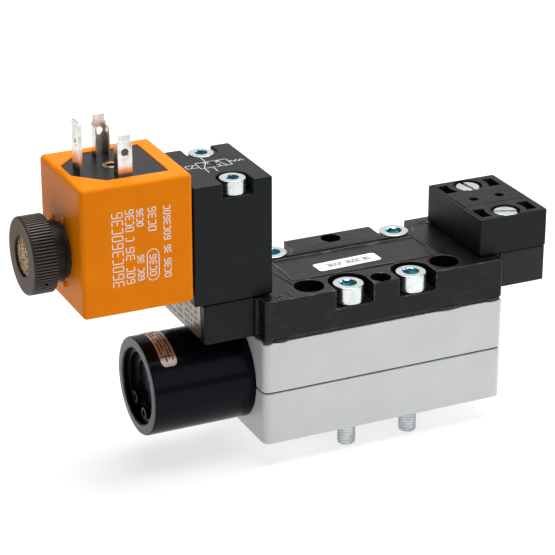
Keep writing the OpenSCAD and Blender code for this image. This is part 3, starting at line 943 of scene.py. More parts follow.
    @staticmethod
    def join(name: str, *pieces: Piece) -> Piece:
        """Joins pieces into one object.

        Args:
            name: The joined piece's name.
            pieces: What is joined.

        Returns:
            The joined piece.
        """
        piece = Bench.take(*pieces)
        if len(pieces) > 1:
            bpy.ops.object.join()
        piece.name = name
        return piece

    @staticmethod
    def mark(piece: Piece, slot: int, test: FaceTest) -> Piece:
        """Gives the faces whose centre and normal pass the test another material slot.

        Args:
            piece: The piece.
            slot: The number of the slot.
            test: Whether a face gets it.

        Returns:
            The same piece.
        """
        for face in piece.data.polygons:
            if test(face.center, face.normal):
                face.material_index = slot
        return piece

    @staticmethod
    def grow(place: Point, factor: float) -> Matrix:
        """A change of size in X and Y about a place."""
        shift = Matrix.Translation(place)
        return shift @ Matrix.Diagonal((factor, factor, 1, 1)) @ shift.inverted()

    @staticmethod
    def upright(x: float, y: float, z: float, degrees: float) -> Matrix:
        """A place for an upright piece, turned by some degrees."""
        return Matrix.Translation((x, y, z)) @ Matrix.Rotation(math.radians(degrees), 4, "Z")

    @staticmethod
    def around(place: Point, degrees: float, axis: str) -> Matrix:
        """A turn round an axis through a place, in degrees."""
        shift = Matrix.Translation(place)
        return shift @ Matrix.Rotation(math.radians(degrees), 4, axis) @ shift.inverted()

    @staticmethod
    def hand_over(piece: Piece, finish: Finish, body: str, slot: str, *nodes: str,
                  extra: Sequence[Finish] = ()) -> Piece:
        """Dresses a finished piece, seats it on its body and reports it.

        Args:
            piece: The finished piece.
            finish: Its finish.
            body: The body that it rides on.
            slot: Not used.
            nodes: The CAD nodes that it stands for.
            extra: The finishes of its further material slots.

        Returns:
            The same piece.
        """
        materials = piece.data.materials
        chosen = [face.material_index for face in piece.data.polygons]
        materials.clear()
        for each in (finish, *extra):
            materials.append(each.material())
        piece.data.polygons.foreach_set("material_index", [min(index, len(extra)) for index in chosen])
        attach(piece, body)
        if nodes:
            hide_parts(*nodes)
        log.info("%s: %d faces on %s", piece.name, len(piece.data.polygons), body)
        return piece


def dress_node(node: str, finish: Finish) -> None:
    """Gives a CAD node that stays in view its finish.

    Args:
        node: The node's name.
        finish: The finish.
    """
    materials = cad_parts[node].data.materials
    materials.clear()
    materials.append(finish.material())
    log.info("%s: kept, %s", node, finish.value.name)


# --------------------------------------------------------------------------- print


@dataclass
class Printing:
    """Marks of ink on a flat face, each one a thin strip that stands a little proud."""

    name: str
    origin: Point
    across: Point
    up: Point
    line: float = 0.2 * MM
    lift: float = 0.03 * MM
    strips: list[Piece] = field(default_factory=list)

    def strip(self, start: Step, end: Step) -> None:
        """Prints one straight stroke.

        Args:
            start: Where it starts, across and up from the origin, in metres.
            end: Where it ends.
        """
        along = Vector((end[0] - start[0], end[1] - start[1], 0))
        reach, half_line = along.length / 2 + self.line * 0.25, self.line / 2
        strip = Bench.block("stroke", (-reach, -half_line, -self.lift), (reach, half_line, self.lift))
        middle = Vector(((start[0] + end[0]) / 2, (start[1] + end[1]) / 2, 0))
        across, up = Vector(self.across), Vector(self.up)
        face = Matrix((across, up, across.cross(up))).transposed().to_4x4()
        turn = Matrix.Rotation(math.atan2(along.y, along.x), 4, "Z")
        strip.matrix_world = Matrix.Translation(self.origin) @ face @ Matrix.Translation(middle) @ turn
        self.strips.append(Bench.settle(strip))

    def chain(self, points: Sequence[Step], closed: bool = False) -> None:
        """Prints strokes from point to point.

        Args:
            points: The corners, across and up from the origin.
            closed: Whether the last point runs back to the first.
        """
        ends = list(points[1:]) + ([points[0]] if closed else [])
        for start, end in zip(points, ends):
            self.strip(start, end)

    def glyph(self, centre: Step, size: Step, kind: int) -> None:
        """Prints one dummy character: a plain outline that spells nothing.

        Args:
            centre: Its middle.
            size: Its width and height.
            kind: Which of the outlines is taken.
        """
        (x, y), (half_w, half_h) = centre, (size[0] / 2, size[1] / 2)
        low, high, left, right = y - half_h, y + half_h, x - half_w, x + half_w
        if kind % 4 == 0:
            self.chain([(left, low), (right, low), (right, high), (left, high)], closed=True)
        elif kind % 4 == 1:
            self.chain([(right, low), (left, low), (left, high), (right, high)])
        elif kind % 4 == 2:
            self.chain([(left, high), (right, high), (right, low), (left, low)])
            self.strip((left, y), (right, y))
        else:
            self.chain([(left, y), (right, y), (right, low), (left, low), (left, high), (right, high)])

    def line_of(self, middle: float, stretches: Sequence[tuple[float, float, int]], height: float) -> None:
        """Prints a line of dummy characters.

        Args:
            middle: The middle of the line's height.
            stretches: Each word's start, end and number of characters.
            height: The characters' height.
        """
        for start, end, count in stretches:
            pitch = (end - start) / count
            size = (pitch * 0.62, height - self.line)
            for k in range(count):
                self.glyph((start + pitch * (k + 0.5), middle), size, k + count)

    def oval(self, centre: Step, length: float, height: float) -> None:
        """Prints a long oval's outline.

        Args:
            centre: Its middle.
            length: Its length over all.
            height: Its height over all.
        """
        radius, corners = height / 2, 10
        points = []
        for side in (1, -1):
            for k in range(corners):
                turn = math.pi * (k / (corners - 1) - 0.5)
                points.append((centre[0] + side * (length / 2 - radius + radius * math.cos(turn)),
                               centre[1] + side * radius * math.sin(turn)))
        self.chain(points, closed=True)

    def finish(self, finish: Finish, body: str, slot: str) -> Piece:
        """Joins the strokes into one piece of print.

        Args:
            finish: The ink.
            body: The body that it rides on.
            slot: Passed on to hand_over, which does not use it.

        Returns:
            The print.
        """
        return Bench.hand_over(Bench.join(self.name, *self.strips), finish, body, slot)


# --------------------------------------------------------------------------- screws


@dataclass
class SocketScrew:
    """A socket-head screw, standing head up with its head's seat at z = 0."""

    head_radius: float
    head_height: float
    socket: float
    socket_depth: float
    shank_radius: float
    shank_length: float
    chamfer: float = 0.35 * MM

    def body(self) -> Piece:
        """Turns the screw and drives its hexagon socket.

        Returns:
            The screw.
        """
        top, edge, tip = self.head_height, self.chamfer, -self.shank_length
        shank, head, fillet = self.shank_radius, self.head_radius, 0.25 * MM
        steps = [(tip, shank - edge), (tip + edge, shank), (-fillet, shank), (0.0, shank + fillet),
                 (0.0, head - 0.3 * MM), (0.3 * MM, head), (top - edge, head),
                 (top - edge * 0.3, head - edge * 0.3), (top, head - edge)]
        screw = Bench.turned("screw", steps)
        corner = self.socket / 2 / math.cos(math.pi / 6)
        floor = top - self.socket_depth
        cone = self.socket / 2 * 0.9
        hexagon = Bench.turned("hexagon", [(floor, corner), (top + 1 * MM, corner)], sides=6)
        drill = Bench.turned("drill", [(floor - cone * 0.35, cone * 0.1), (floor + 0.1 * MM, cone)], sides=24)
        lead = Bench.turned("lead", [(top - 0.3 * MM, corner * 0.88), (top + 0.2 * MM, corner * 1.12)],
                            sides=36)
        Bench.cut(screw, hexagon, drill, lead)
        return Bench.smooth(screw, 30)

    @staticmethod
    def thread(radius: float, length: float, pitch: float) -> Piece:
        """A helical thread below z = 0 on its core, with a chamfered end.

        Args:
            radius: The thread's outer radius.
            length: How far it reaches down.
            pitch: How far one turn climbs.

        Returns:
            The threaded end.
        """
        core = radius - 0.6 * pitch
        bpy.ops.object.select_all(action="DESELECT")
        bpy.ops.mesh.primitive_circle_add(vertices=3, radius=pitch * 0.56, fill_type="NOTHING")
        ridge = bpy.context.object
        ridge.rotation_euler = (math.pi / 2, 0, math.pi / 2 * 3)
        Bench.settle(ridge)
        start = Matrix.Translation((radius - pitch * 0.5, 0, -length - pitch))
        quarter = math.pi / 2
        ridge.data.transform(start @ Matrix.Rotation(quarter, 4, "Y") @ Matrix.Rotation(quarter, 4, "Z"))
        turns = math.ceil(length / pitch) + 1
        Bench.modify(ridge, "SCREW", axis="Z", angle=2 * math.pi, screw_offset=pitch, iterations=turns,
                     steps=36, render_steps=36)
        with Bench.editing(ridge):
            bpy.ops.mesh.select_all(action="SELECT")
            bpy.ops.mesh.fill_holes(sides=3)
            bpy.ops.mesh.normals_make_consistent(inside=False)
        edge = 0.6 * MM
        end = Bench.turned("thread", [(-length, core), (0, core)], sides=36)
        envelope = Bench.turned("envelope", [(-length, radius - edge), (-length + edge, radius), (0, radius)],
                                sides=48)
        Bench.cut(end, ridge, how="UNION")
        Bench.cut(end, envelope, how="INTERSECT")
        return Bench.smooth(end, 30)


# --------------------------------------------------------------------------- sub-assemblies


@dataclass
class Housing:
    """The two grey halves, their seals and the spool's sleeve."""

    edge: float = 0.45 * MM
    lobe_places: tuple[Step, ...] = ((-34.6 * MM, 1.3), (-30.6 * MM, 2.3), (19.1 * MM, 4.6), (32.8 * MM, 2.3))
    body: str = "valve_body"

    def build(self) -> None:
        """Builds and dresses the housing."""
        for node, name in (("body_lower", "housing_lower"), ("body_upper", "housing_upper")):
            half = Bench.soften(Bench.of_node(node, name), self.edge, 3)
            Bench.hand_over(half, Finish.GREY_PAINT, self.body, "grey_paint", node)
        for node in ("body_seal", "port_seals", "plate_gasket", "sleeve_seals"):
            dress_node(node, Finish.BLACK_RUBBER)
        dress_node("valve_sleeve", Finish.MACHINED_METAL)
        self.lobes()

    def lobes(self) -> None:
        """Lays the plate gasket's four lobes on the ledge beside the plate."""
        low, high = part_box("plate_gasket")
        steps = [(low.z + 0.02 * MM, 0.9 * MM), (low.z + 0.2 * MM, 1 * MM), (high.z - 0.1 * MM, 1 * MM),
                 (high.z - 0.02 * MM, 0.9 * MM)]
        lobes = []
        for middle, stretch in self.lobe_places:
            lobe = Bench.turned("lobe", steps, sides=48)
            lobe.scale = (stretch, 1, 1)
            lobe.location = (middle, low.y + 0.36 * MM, 0)
            lobes.append(Bench.smooth(Bench.settle(lobe)))
        Bench.hand_over(Bench.join("gasket_lobes", *lobes), Finish.BLACK_RUBBER, self.body, "black_rubber")


@dataclass
class TopPlate:
    """The coated plate with its bolt notches, panel, holes and white sticker."""

    edge: float = 0.26 * MM
    body: str = "valve_body"
    bolt_seat: float = 35.8 * MM
    # Each bolt's place in millimetres, and its turn in degrees.
    bolt_places: tuple[Point, ...] = ((-9.4, -14, 12), (9.4, -14, 40), (-18.8, 14, 25), (18.8, 14, 55))
    sticker_half: Step = (9.5 * MM, 2.6 * MM)
    sticker_turn: float = 2.5
    # Raised patches as x from, x to, y from and y to, in millimetres.
    frame_lines: tuple[Patch, ...] = ((-23, -22.5, -7.6, 6.8), (-22.5, 20.6, -8.1, -7.7))
    cast_marks: tuple[Patch, ...] = (
        (-31.6, -30.6, -16.2, -15.2), (-30.4, -29.6, -15.9, -14.9), (-32, -31, -18, -17.2),
        (-30.7, -29.9, -17.9, -17.1), (-27.5, -27, -17.6, -13.9), (27.6, 28.1, 13.6, 16.6),
        (28.9, 29.6, 15.2, 16.2), (28.7, 29.8, 13.2, 14.2))

    def build(self) -> None:
        """Builds the plate, the bolts and the sticker."""
        plate = Bench.of_node("top_plate", "valve_plate", dissolve=False)
        plate = Bench.soften(plate, self.edge, edge_slot=1)
        Bench.hand_over(plate, Finish.BLACK_COATING, self.body, "black_coating", "top_plate",
                        extra=[Finish.WORN_EDGE])
        self.marks()
        self.bolts()
        self.sticker()

    def marks(self) -> None:
        """Raises the small cast marks and the thin frame lines on the plate's top."""
        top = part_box("top_plate")[1].z
        raised = []
        for x0, x1, y0, y1 in self.cast_marks + self.frame_lines:
            mark = Bench.block("mark", (x0 * MM, y0 * MM, top - 0.3 * MM),
                               (x1 * MM, y1 * MM, top + 0.14 * MM))
            raised.append(Bench.soften(mark, 0.07 * MM))
        Bench.hand_over(Bench.join("plate_marks", *raised), Finish.CAST_MARK, self.body, "black_coating")

    def bolts(self) -> None:
        """Makes one bolt and its threaded end, and seats a copy in each notch."""
        low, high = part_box("plate_screws")
        seat = self.bolt_seat
        screw = SocketScrew(head_radius=4.2 * MM, head_height=high.z - seat, socket=4 * MM,
                            socket_depth=2.6 * MM, shank_radius=2.1 * MM, shank_length=seat)
        bolt = screw.body()
        bolt.data.transform(Matrix.Translation((0, 0, seat)))
        thread = screw.thread(radius=2.5 * MM, length=-low.z, pitch=0.8 * MM)
        places = [Bench.upright(x * MM, y * MM, 0, turn) for x, y, turn in self.bolt_places]
        four = Bench.copies(Bench.join("bolt", bolt, thread), "bolt_copy", places)
        bolts = Bench.mark(Bench.join("plate_bolts", *four), 1, lambda at, normal: (
            seat + 1 * MM < at.z < high.z - 0.04 * MM
            and min(math.hypot(at.x - x * MM, at.y - y * MM) for x, y, _ in self.bolt_places) < 2.35 * MM))
        Bench.hand_over(bolts, Finish.ZINC_STEEL, self.body, "zinc_steel", "plate_screws",
                        extra=[Finish.ZINC_BLUE])

    def sticker(self) -> None:
        """Lays the white sticker on the panel, with a row of dummy print."""
        low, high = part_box("plate_label")
        middle = (low + high) / 2
        half_x, half_y = self.sticker_half
        sticker = Bench.block("plate_sticker", (middle.x - half_x, middle.y - half_y, low.z),
                              (middle.x + half_x, middle.y + half_y, high.z))
        with Bench.edges(sticker, lambda a, b: abs(a.z - b.z) > 1e-6):
            bpy.ops.mesh.bevel(offset=0.9 * MM, segments=6)
        turn = Bench.around(tuple(middle), self.sticker_turn, "Z")
        sticker.data.transform(turn)
        Bench.hand_over(Bench.smooth(sticker), Finish.WHITE_LABEL, self.body, "white_label", "plate_label")
        across, up = turn.to_3x3().col[:2]
        marks = Printing("sticker_print", (middle.x, middle.y, high.z), across, up, line=0.3 * MM,
                         lift=0.02 * MM)
        marks.line_of(0.0, [(-6.4 * MM, 7 * MM, 10)], 1.9 * MM)
        marks.finish(Finish.DARK_INK, self.body, "white_label")


@dataclass
class SpringHousing:
    """The round housing of the return spring, with its end disc, retaining ring and foil strip."""

    sides: int = 192
    centre: Step = SPOOL_AXIS
    bore: float = 10.5 * MM
    spigot: float = 8.95 * MM
    seal_seat: float = 7.3 * MM
    passage: float = 6.5 * MM
    foil_middle: float = 94.0
    foil_span: float = 88.0
    print_rows: tuple[float, ...] = (-1.4 * MM, -0.5 * MM, 0.45 * MM, 1.35 * MM)
    print_columns: int = 15
    body: str = "valve_body"

    def build(self) -> None:
        """Builds and dresses the round housing and what closes it."""
        low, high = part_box("spring_housing")
        radius = (high.y - low.y) / 2
        bore, spigot, seal_seat, passage = self.bore, self.spigot, self.seal_seat, self.passage
        x0, bore_end, shoulder = low.x, -40 * MM, -36.05 * MM
        seal_x0, seal_x1 = -32 * MM, -30.2 * MM
        ring_x0, ring_x1, ring_seat = x0 + 1.5 * MM, x0 + 2.6 * MM, bore + 0.8 * MM
        steps = [(x0, bore + 0.35 * MM), (x0, radius - 0.5 * MM), (x0 + 0.15 * MM, radius - 0.18 * MM),
                 (x0 + 0.5 * MM, radius), (shoulder, radius), (shoulder, spigot), (seal_x0, spigot),
                 (seal_x0, seal_seat), (seal_x1, seal_seat), (seal_x1, spigot), (high.x, spigot),
                 (high.x, passage), (bore_end, passage), (bore_end, bore), (ring_x1, bore),
                 (ring_x1, ring_seat), (ring_x0, ring_seat), (ring_x0, bore), (x0 + 0.35 * MM, bore)]
        drum = Bench.turned("spring_drum", steps, self.centre, Axis.X, self.sides, ring=True)
        Bench.mark(Bench.smooth(drum, 30), 1, lambda at, normal: at.x < x0 + 0.2 * MM)
        Bench.hand_over(drum, Finish.BLACK_ANODISED, self.body, "black_anodised", "spring_housing",
                        extra=[Finish.RIM_METAL])
        self.closure()
        dress_node("housing_seal", Finish.BLACK_RUBBER)
        self.foil()

    def closure(self) -> None:
        """Turns the end disc, and finishes the retaining ring."""
        low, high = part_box("end_disc")
        radius, edge = (high.y - low.y) / 2, 0.3 * MM
        dish, dish_floor = 6.5 * MM, low.x + 1 * MM
        steps = [(high.x, radius - edge), (high.x - edge, radius), (low.x + edge, radius),
                 (low.x, radius - edge), (low.x, dish), (low.x + edge, dish - edge),
                 (dish_floor, dish - 0.5 * MM), (dish_floor, 0.6 * MM), (dish_floor + 0.3 * MM, 0.2 * MM)]
        disc = Bench.turned("drum_end_disc", steps, self.centre, Axis.X, 96)
        Bench.hand_over(Bench.smooth(disc, 30), Finish.BLACK_ANODISED, self.body, "black_anodised",
                        "end_disc")
        ring = Bench.soften(Bench.of_node("retaining_ring", "drum_retaining_ring"), 0.12 * MM)
        Bench.hand_over(ring, Finish.DARK_STEEL, self.body, "spring_steel", "retaining_ring")

    def foil(self) -> None:
        """Bends the foil strip over the round housing, with round corners, and prints on it."""
        low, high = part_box("housing_label")
        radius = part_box("spring_housing")[1].y
        half_x, middle_x, corner = (high.x - low.x) / 2, (high.x + low.x) / 2, 1.1 * MM
        reach = radius * math.sin(math.radians(self.foil_span / 2))
        outline = [(side_x * (half_x - corner) + corner * math.cos(math.radians(turn)),
                    side_y * (reach - corner) + corner * math.sin(math.radians(turn)))
                   for side_x, side_y, first in ((1, -1, -90), (1, 1, 0), (-1, 1, 90), (-1, -1, 180))
                   for turn in range(first, first + 91, 18)]
        inside, outside = radius - 0.2 * MM, radius + 0.1 * MM
        steps = [(low.x, inside), (low.x, outside), (high.x, outside), (high.x, inside)]
        foil = Bench.turned("drum_foil", steps, self.centre, Axis.X, self.sides, ring=True)
        tool = Bench.prism("foil_outline", outline, 2 * MM, radius + 3 * MM)
        tool.data.transform(Matrix.Translation((middle_x, 0, 0)) @ self.leaning(self.foil_middle))
        Bench.cut(foil, tool, how="INTERSECT")
        Bench.hand_over(Bench.smooth(foil, 20), Finish.FOIL_LABEL, self.body, "foil_label", "housing_label")
        self.foil_print(low.x + 0.3 * MM, high.x - 0.3 * MM, radius)

    def leaning(self, angle: float) -> Matrix:
        """The turn that takes what stands over the housing's axis to an angle round it."""
        return Matrix.Translation((0, *self.centre)) @ Matrix.Rotation(math.radians(angle - 90), 4, "X")

    def foil_print(self, x0: float, x1: float, radius: float) -> None:
        """Prints rows of short strokes and one cross line on the foil.

        Args:
            x0: Where the cross line starts.
            x1: Where it ends.
            radius: The radius of the housing under the foil.
        """

        def stroke(start: float, end: float, half_length: float, angle: float) -> Piece:
            """Lays one stroke on the foil.

            Args:
                start: Where it starts along the axis.
                end: Where it ends along the axis.
                half_length: How far it reaches either way round the axis.
                angle: Its middle's angle round the axis.

            Returns:
                The stroke.
            """
            ink = Bench.block("stroke", (start, -half_length, radius + 0.05 * MM),
                              (end, half_length, radius + 0.125 * MM))
            ink.data.transform(self.leaning(angle))
            return ink

        strokes = [stroke(x0, x1, 0.2 * MM, 126)]
        first, span = self.foil_middle - self.foil_span / 2 + 6, self.foil_span - 12
        for row, shift in enumerate(self.print_rows):
            for k in range(self.print_columns):
                if (k + 2 * row) % 5 == 4:
                    continue
                middle = (x0 + x1) / 2 + shift
                half_length = (0.36 if (k + row) % 3 else 0.85) * MM
                angle = first + span * (k + 0.5 * (row % 2)) / self.print_columns
                strokes.append(stroke(middle - 0.2 * MM, middle + 0.2 * MM, half_length, angle))
        Bench.hand_over(Bench.join("drum_foil_print", *strokes), Finish.DARK_INK, self.body, "foil_label")


@dataclass
class Pilot:
    """The pilot block with its two screws and flow symbol, and the adapter that carries it."""

    edge: float = 0.5 * MM
    body: str = "valve_body"

    def build(self) -> None:
        """Builds and dresses the pilot stage."""
        for node, name in (("pilot_body", "pilot_block"), ("pilot_adapter", "pilot_foot")):
            block = Bench.soften(Bench.of_node(node, name), self.edge, 3)
            Bench.hand_over(block, Finish.BLACK_PLASTIC, self.body, "black_plastic", node)
        for node in ("adapter_gasket", "pilot_gasket", "tube_seal"):
            dress_node(node, Finish.BLACK_RUBBER)
        self.screws()
        self.symbol()
        self.foil()

    def screws(self) -> None:
        """Seats the two pilot screws."""
        low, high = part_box("pilot_screws")
        head, height = 3.5 * MM, 4 * MM
        seat = high.z - height
        screw = SocketScrew(head_radius=head, head_height=height, socket=3 * MM, socket_depth=2.2 * MM,
                            shank_radius=1.95 * MM, shank_length=seat - low.z).body()
        middle_x, reach = (low.x + high.x) / 2, (high.y - low.y) / 2 - head
        pair = Bench.copies(screw, "pilot_screw", [Bench.upright(middle_x, -reach, seat, 18),
                                                   Bench.upright(middle_x, reach, seat, 44)])
        screws = Bench.mark(Bench.join("pilot_block_screws", *pair), 1, lambda at, normal: (
            seat + 1 * MM < at.z < high.z - 0.04 * MM
            and math.hypot(at.x - middle_x, abs(at.y) - reach) < 1.75 * MM))
        Bench.hand_over(screws, Finish.ZINC_STEEL, self.body, "zinc_steel", "pilot_screws",
                        extra=[Finish.ZINC_BLUE])

    def symbol(self) -> None:
        """Prints a plain two-position valve symbol on the pilot block's top."""
        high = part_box("pilot_body")[1]
        drawing = Printing("flow_symbol", (-41.7 * MM, 0.4 * MM, high.z), (1, 0, 0), (0, 1, 0),
                           line=0.24 * MM)
        size = 4.4 * MM
        low, top = -size / 2, size / 2
        for left in (-size, 0.0):
            drawing.chain([(left, low), (left + size, low), (left + size, top), (left, top)], closed=True)
        drawing.strip((-0.8 * size, low), (-0.3 * size, top))
        drawing.chain([(-0.55 * size, 0.32 * size), (-0.3 * size, top), (-0.28 * size, 0.16 * size)])
        drawing.strip((0.7 * size, low), (0.3 * size, top))
        drawing.chain([(0.56 * size, 0.32 * size), (0.3 * size, top), (0.26 * size, 0.16 * size)])
        drawing.chain([(0.25 * size, low), (0.25 * size, -0.2 * size)])
        drawing.strip((0.12 * size, -0.2 * size), (0.38 * size, -0.2 * size))
        drawing.chain([(size + k * 0.15 * size, size * (0.16 if k % 2 else -0.16)) for k in range(7)])
        drawing.chain([(-size, -0.24 * size), (-1.75 * size, -0.24 * size), (-1.75 * size, 0.24 * size),
                       (-size, 0.24 * size)])
        drawing.strip((-1.55 * size, -0.24 * size), (-1.2 * size, 0.24 * size))
        for across in (-0.8, -0.25):
            drawing.strip((across * size, low), (across * size, -1.2 * size))
        drawing.strip((-0.3 * size, top), (-0.3 * size, 1.25 * size))
        drawing.finish(Finish.PALE_INK, self.body, "black_plastic")

    def foil(self) -> None:
        """Lays the foil on the adapter's free end and prints dummy lines on it."""
        low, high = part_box("adapter_label")
        foil = Bench.block("foot_foil", low, high)
        middle_z = (low.z + high.z) / 2
        with Bench.edges(foil, lambda a, b: abs(a.x - b.x) > 1e-6 and a.y < 0 and a.z < middle_z):
            bpy.ops.mesh.bevel(offset=1.6 * MM, segments=6)
        Bench.hand_over(Bench.smooth(foil), Finish.DARK_FOIL, self.body, "foil_label", "adapter_label")
        corner = (low.x, high.y - 1.2 * MM, high.z - 1.3 * MM)
        marks = Printing("foot_foil_print", corner, (0, -1, 0), (0, 0, 1), line=0.16 * MM,
                         lift=0.01 * MM)
        for row in range(5):
            odd = row % 2
            words = ((0.4 * (row % 3), 6 - odd), (6.6, 5), (12.4 - 0.5 * odd, 6), (18.6, 3))
            stretches = [(start * MM, (start + count * 0.95) * MM, count) for start, count in words]
            marks.line_of(-row * 1.75 * MM, stretches, 1.0 * MM)
        marks.finish(Finish.DARK_INK, self.body, "foil_label")


@dataclass
class CoverEnd:
    """The cover block on its extension, at the plate's other end."""

    edge: float = 0.3 * MM
    body: str = "valve_body"

    def build(self) -> None:
        """Builds and dresses the cover block, the extension and their screws."""
        low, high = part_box("cover_block")
        cover = Bench.of_node("cover_block", "end_cover", dissolve=False)
        floor, above, half_line = high.z - 0.2 * MM, high.z + 1 * MM, 0.09 * MM
        line_y, line_x = -4.2 * MM, low.x + 0.9 * MM
        Bench.cut(cover, Bench.block("line", (low.x + 1 * MM, line_y - half_line, floor),
                                     (high.x - 1.2 * MM, line_y + half_line, above)),
                  Bench.block("line", (line_x - half_line, low.y + 1 * MM, floor),
                              (line_x + half_line, high.y - 1 * MM, above)))
        Bench.soften(cover, self.edge * 0.5)
        Bench.hand_over(cover, Finish.COVER_PLASTIC, self.body, "cover_plastic", "cover_block")
        extension = Bench.soften(Bench.of_node("end_extension", "end_foot"), self.edge)
        Bench.hand_over(extension, Finish.EXTENSION_PLASTIC, self.body, "black_plastic", "end_extension")
        for node in ("cover_gasket", "extension_gasket"):
            dress_node(node, Finish.BLACK_RUBBER)
        dress_node("end_screws", Finish.ZINC_STEEL)
        self.screws()

    def screws(self) -> None:
        """Turns the two slotted screws and seats them in the cover."""
        low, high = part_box("cover_screws")
        head, seat = 3.5 * MM, high.z - 2.6 * MM
        middle_x, reach = (low.x + high.x) / 2, (high.y - low.y) / 2 - head
        shank = 1.95 * MM
        steps = [(low.z, shank - 0.35 * MM), (low.z + 0.35 * MM, shank), (seat, shank),
                 (seat, head - 0.2 * MM), (seat + 0.2 * MM, head), (high.z - 0.5 * MM, head),
                 (high.z - 0.15 * MM, head - 0.15 * MM), (high.z, head - 0.5 * MM)]
        screw = Bench.turned("slotted", steps, sides=72)
        half_slot, past = 0.55 * MM, 5 * MM
        slot = Bench.block("slot", (-past, -half_slot, high.z - 1.1 * MM), (past, half_slot, high.z + 1 * MM))
        Bench.soften(Bench.cut(screw, slot), 0.08 * MM)
        pair = Bench.copies(screw, "cover_screw", [Bench.upright(middle_x, -reach, 0, -24),
                                                   Bench.upright(middle_x, reach, 0, -83)])
        Bench.hand_over(Bench.join("cover_slotted_screws", *pair), Finish.ZINC_STEEL, self.body, "zinc_steel",
                        "cover_screws")


@dataclass
class Coil:
    """The orange coil with its plug seat, blades, print and ribs."""

    edge: float = 1.2 * MM
    bore: float = 6.8 * MM
    seat_bend: float = -75.4 * MM
    seat_flat: float = 8 * MM
    rib_reach: Step = (8.2 * MM, 9.7 * MM)
    rib_angles: tuple[float, ...] = (47, 103, -47, -103)
    # In millimetres: each line's place across the face, its height, and each word's start and end, with
    # the word's number of characters.
    printed_lines: tuple[tuple[float, float, tuple[tuple[float, float, int], ...]], ...] = (
        (9.6, 3.0, ((7.5, 28.2, 10),)),
        (12.9, 2.3, ((8.0, 12.9, 3), (14.3, 18.4, 2), (19.6, 21.0, 1), (22.2, 28.4, 4))),
        (15.7, 1.8, ((8.5, 12.1, 3), (13.2, 15.7, 2), (23.2, 28.2, 4))),
        (19.0, 1.9, ((9.2, 15.4, 4),)),
        (19.0, 2.2, ((21.4, 28.2, 4),)),
        (23.0, 1.9, ((8.2, 13.6, 4), (14.8, 17.2, 2), (18.4, 28.0, 7))))
    body: str = "coil"

    def build(self) -> None:
        """Builds and dresses the coil."""
        self.case()
        base = Bench.soften(Bench.of_node("connector_base", "plug_seat"), 0.22 * MM)
        Bench.hand_over(base, Finish.CONNECTOR_PLASTIC, self.body, "connector_plastic", "connector_base")
        insert = Bench.soften(Bench.of_node("connector_insert", "plug_insert"), 0.12 * MM)
        Bench.hand_over(insert, Finish.BRASS, self.body, "brass", "connector_insert")
        for node, name in (("front_terminal", "front_blade"), ("rear_terminal", "rear_blade")):
            blade = Bench.soften(Bench.of_node(node, name), 0.08 * MM)
            Bench.hand_over(blade, Finish.TIN_PLATE, self.body, "tin_plate", node)
        self.earth_blade()
        for node, finish in (("coil_yoke", Finish.YOKE_STEEL), ("coil_bobbin", Finish.CONNECTOR_PLASTIC),
                             ("coil_winding", Finish.COPPER_WIRE), ("coil_washer", Finish.BLACK_RUBBER)):
            dress_node(node, finish)
        self.ribs()
        self.print_lines()

    def earth_blade(self) -> None:
        """Cuts the flat earth blade to shape, breaks its corners and drills its eye."""
        low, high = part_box("earth_terminal")
        half, middle, corner = (high.y - low.y) / 2, (low.y + high.y) / 2, 0.4 * MM
        outline = [(-half, low.z), (half, low.z), (half, high.z - corner), (half - corner, high.z),
                   (corner - half, high.z), (-half, high.z - corner)]
        blade = Bench.prism("earth_blade", outline, low.x, high.x)
        eye = Matrix.Translation((0, high.z - 5.4 * MM, 0))
        Bench.drill(blade, [(eye, low.x - 1 * MM, high.x - low.x + 2 * MM, 0.9 * MM)])
        upright = Matrix(((0, 0, 1, 0), (1, 0, 0, middle), (0, 1, 0, 0), (0, 0, 0, 1)))
        blade.data.transform(upright)
        Bench.hand_over(Bench.soften(blade, 0.08 * MM), Finish.TIN_PLATE, self.body, "tin_plate",
                        "earth_terminal")

    def case(self) -> None:
        """Rounds a block on every edge and cuts the bore, the yoke's pocket and the plug's seat into it."""
        low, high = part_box("coil_housing")
        case = Bench.block("coil_case", low, high)
        with Bench.edges(case, lambda a, b: True):
            bpy.ops.mesh.bevel(offset=self.edge, segments=5)
        yoke_low, yoke_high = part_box("coil_yoke")
        seat_low, seat_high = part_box("connector_base")
        middle, half_flat = (seat_low.y + seat_high.y) / 2, self.seat_flat / 2
        outline = [(seat_low.x, middle - half_flat), (self.seat_bend, seat_low.y),
                   (seat_high.x, seat_low.y), (seat_high.x, seat_high.y),
                   (self.seat_bend, seat_high.y), (seat_low.x, middle + half_flat)]
        bore = Bench.turned("bore", [(low.x - 1 * MM, self.bore), (high.x + 1 * MM, self.bore)], COIL_AXIS,
                            Axis.X, 96)
        seat = Bench.prism("seat", outline, seat_low.z, high.z + 1 * MM)
        lip = Bench.prism("lip", outline, high.z - 0.12 * MM, high.z + 1 * MM)
        lip.data.transform(Bench.grow((sum(x for x, _ in outline) / len(outline), middle, 0), 1.014))
        Bench.cut(case, bore, Bench.block("pocket", yoke_low, yoke_high), seat, lip)
        Bench.hand_over(Bench.smooth(case, 30), Finish.ORANGE_PLASTIC, self.body, "orange_plastic",
                        "coil_housing")

    def ribs(self) -> None:
        """Stands short ribs round the hole in the coil's end face."""
        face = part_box("coil_housing")[0].x
        axis_z, (near, far) = COIL_AXIS[1], self.rib_reach
        rib = Bench.block("rib", (face - 0.7 * MM, -0.45 * MM, axis_z + near),
                          (face + 0.2 * MM, 0.45 * MM, axis_z + far))
        Bench.soften(rib, 0.2 * MM)
        places = [Bench.around((0, 0, axis_z), angle - 90, "X") for angle in self.rib_angles]
        ribs = Bench.copies(rib, "rib_copy", places)
        Bench.hand_over(Bench.join("coil_ribs", *ribs), Finish.ORANGE_PLASTIC, self.body, "orange_plastic")

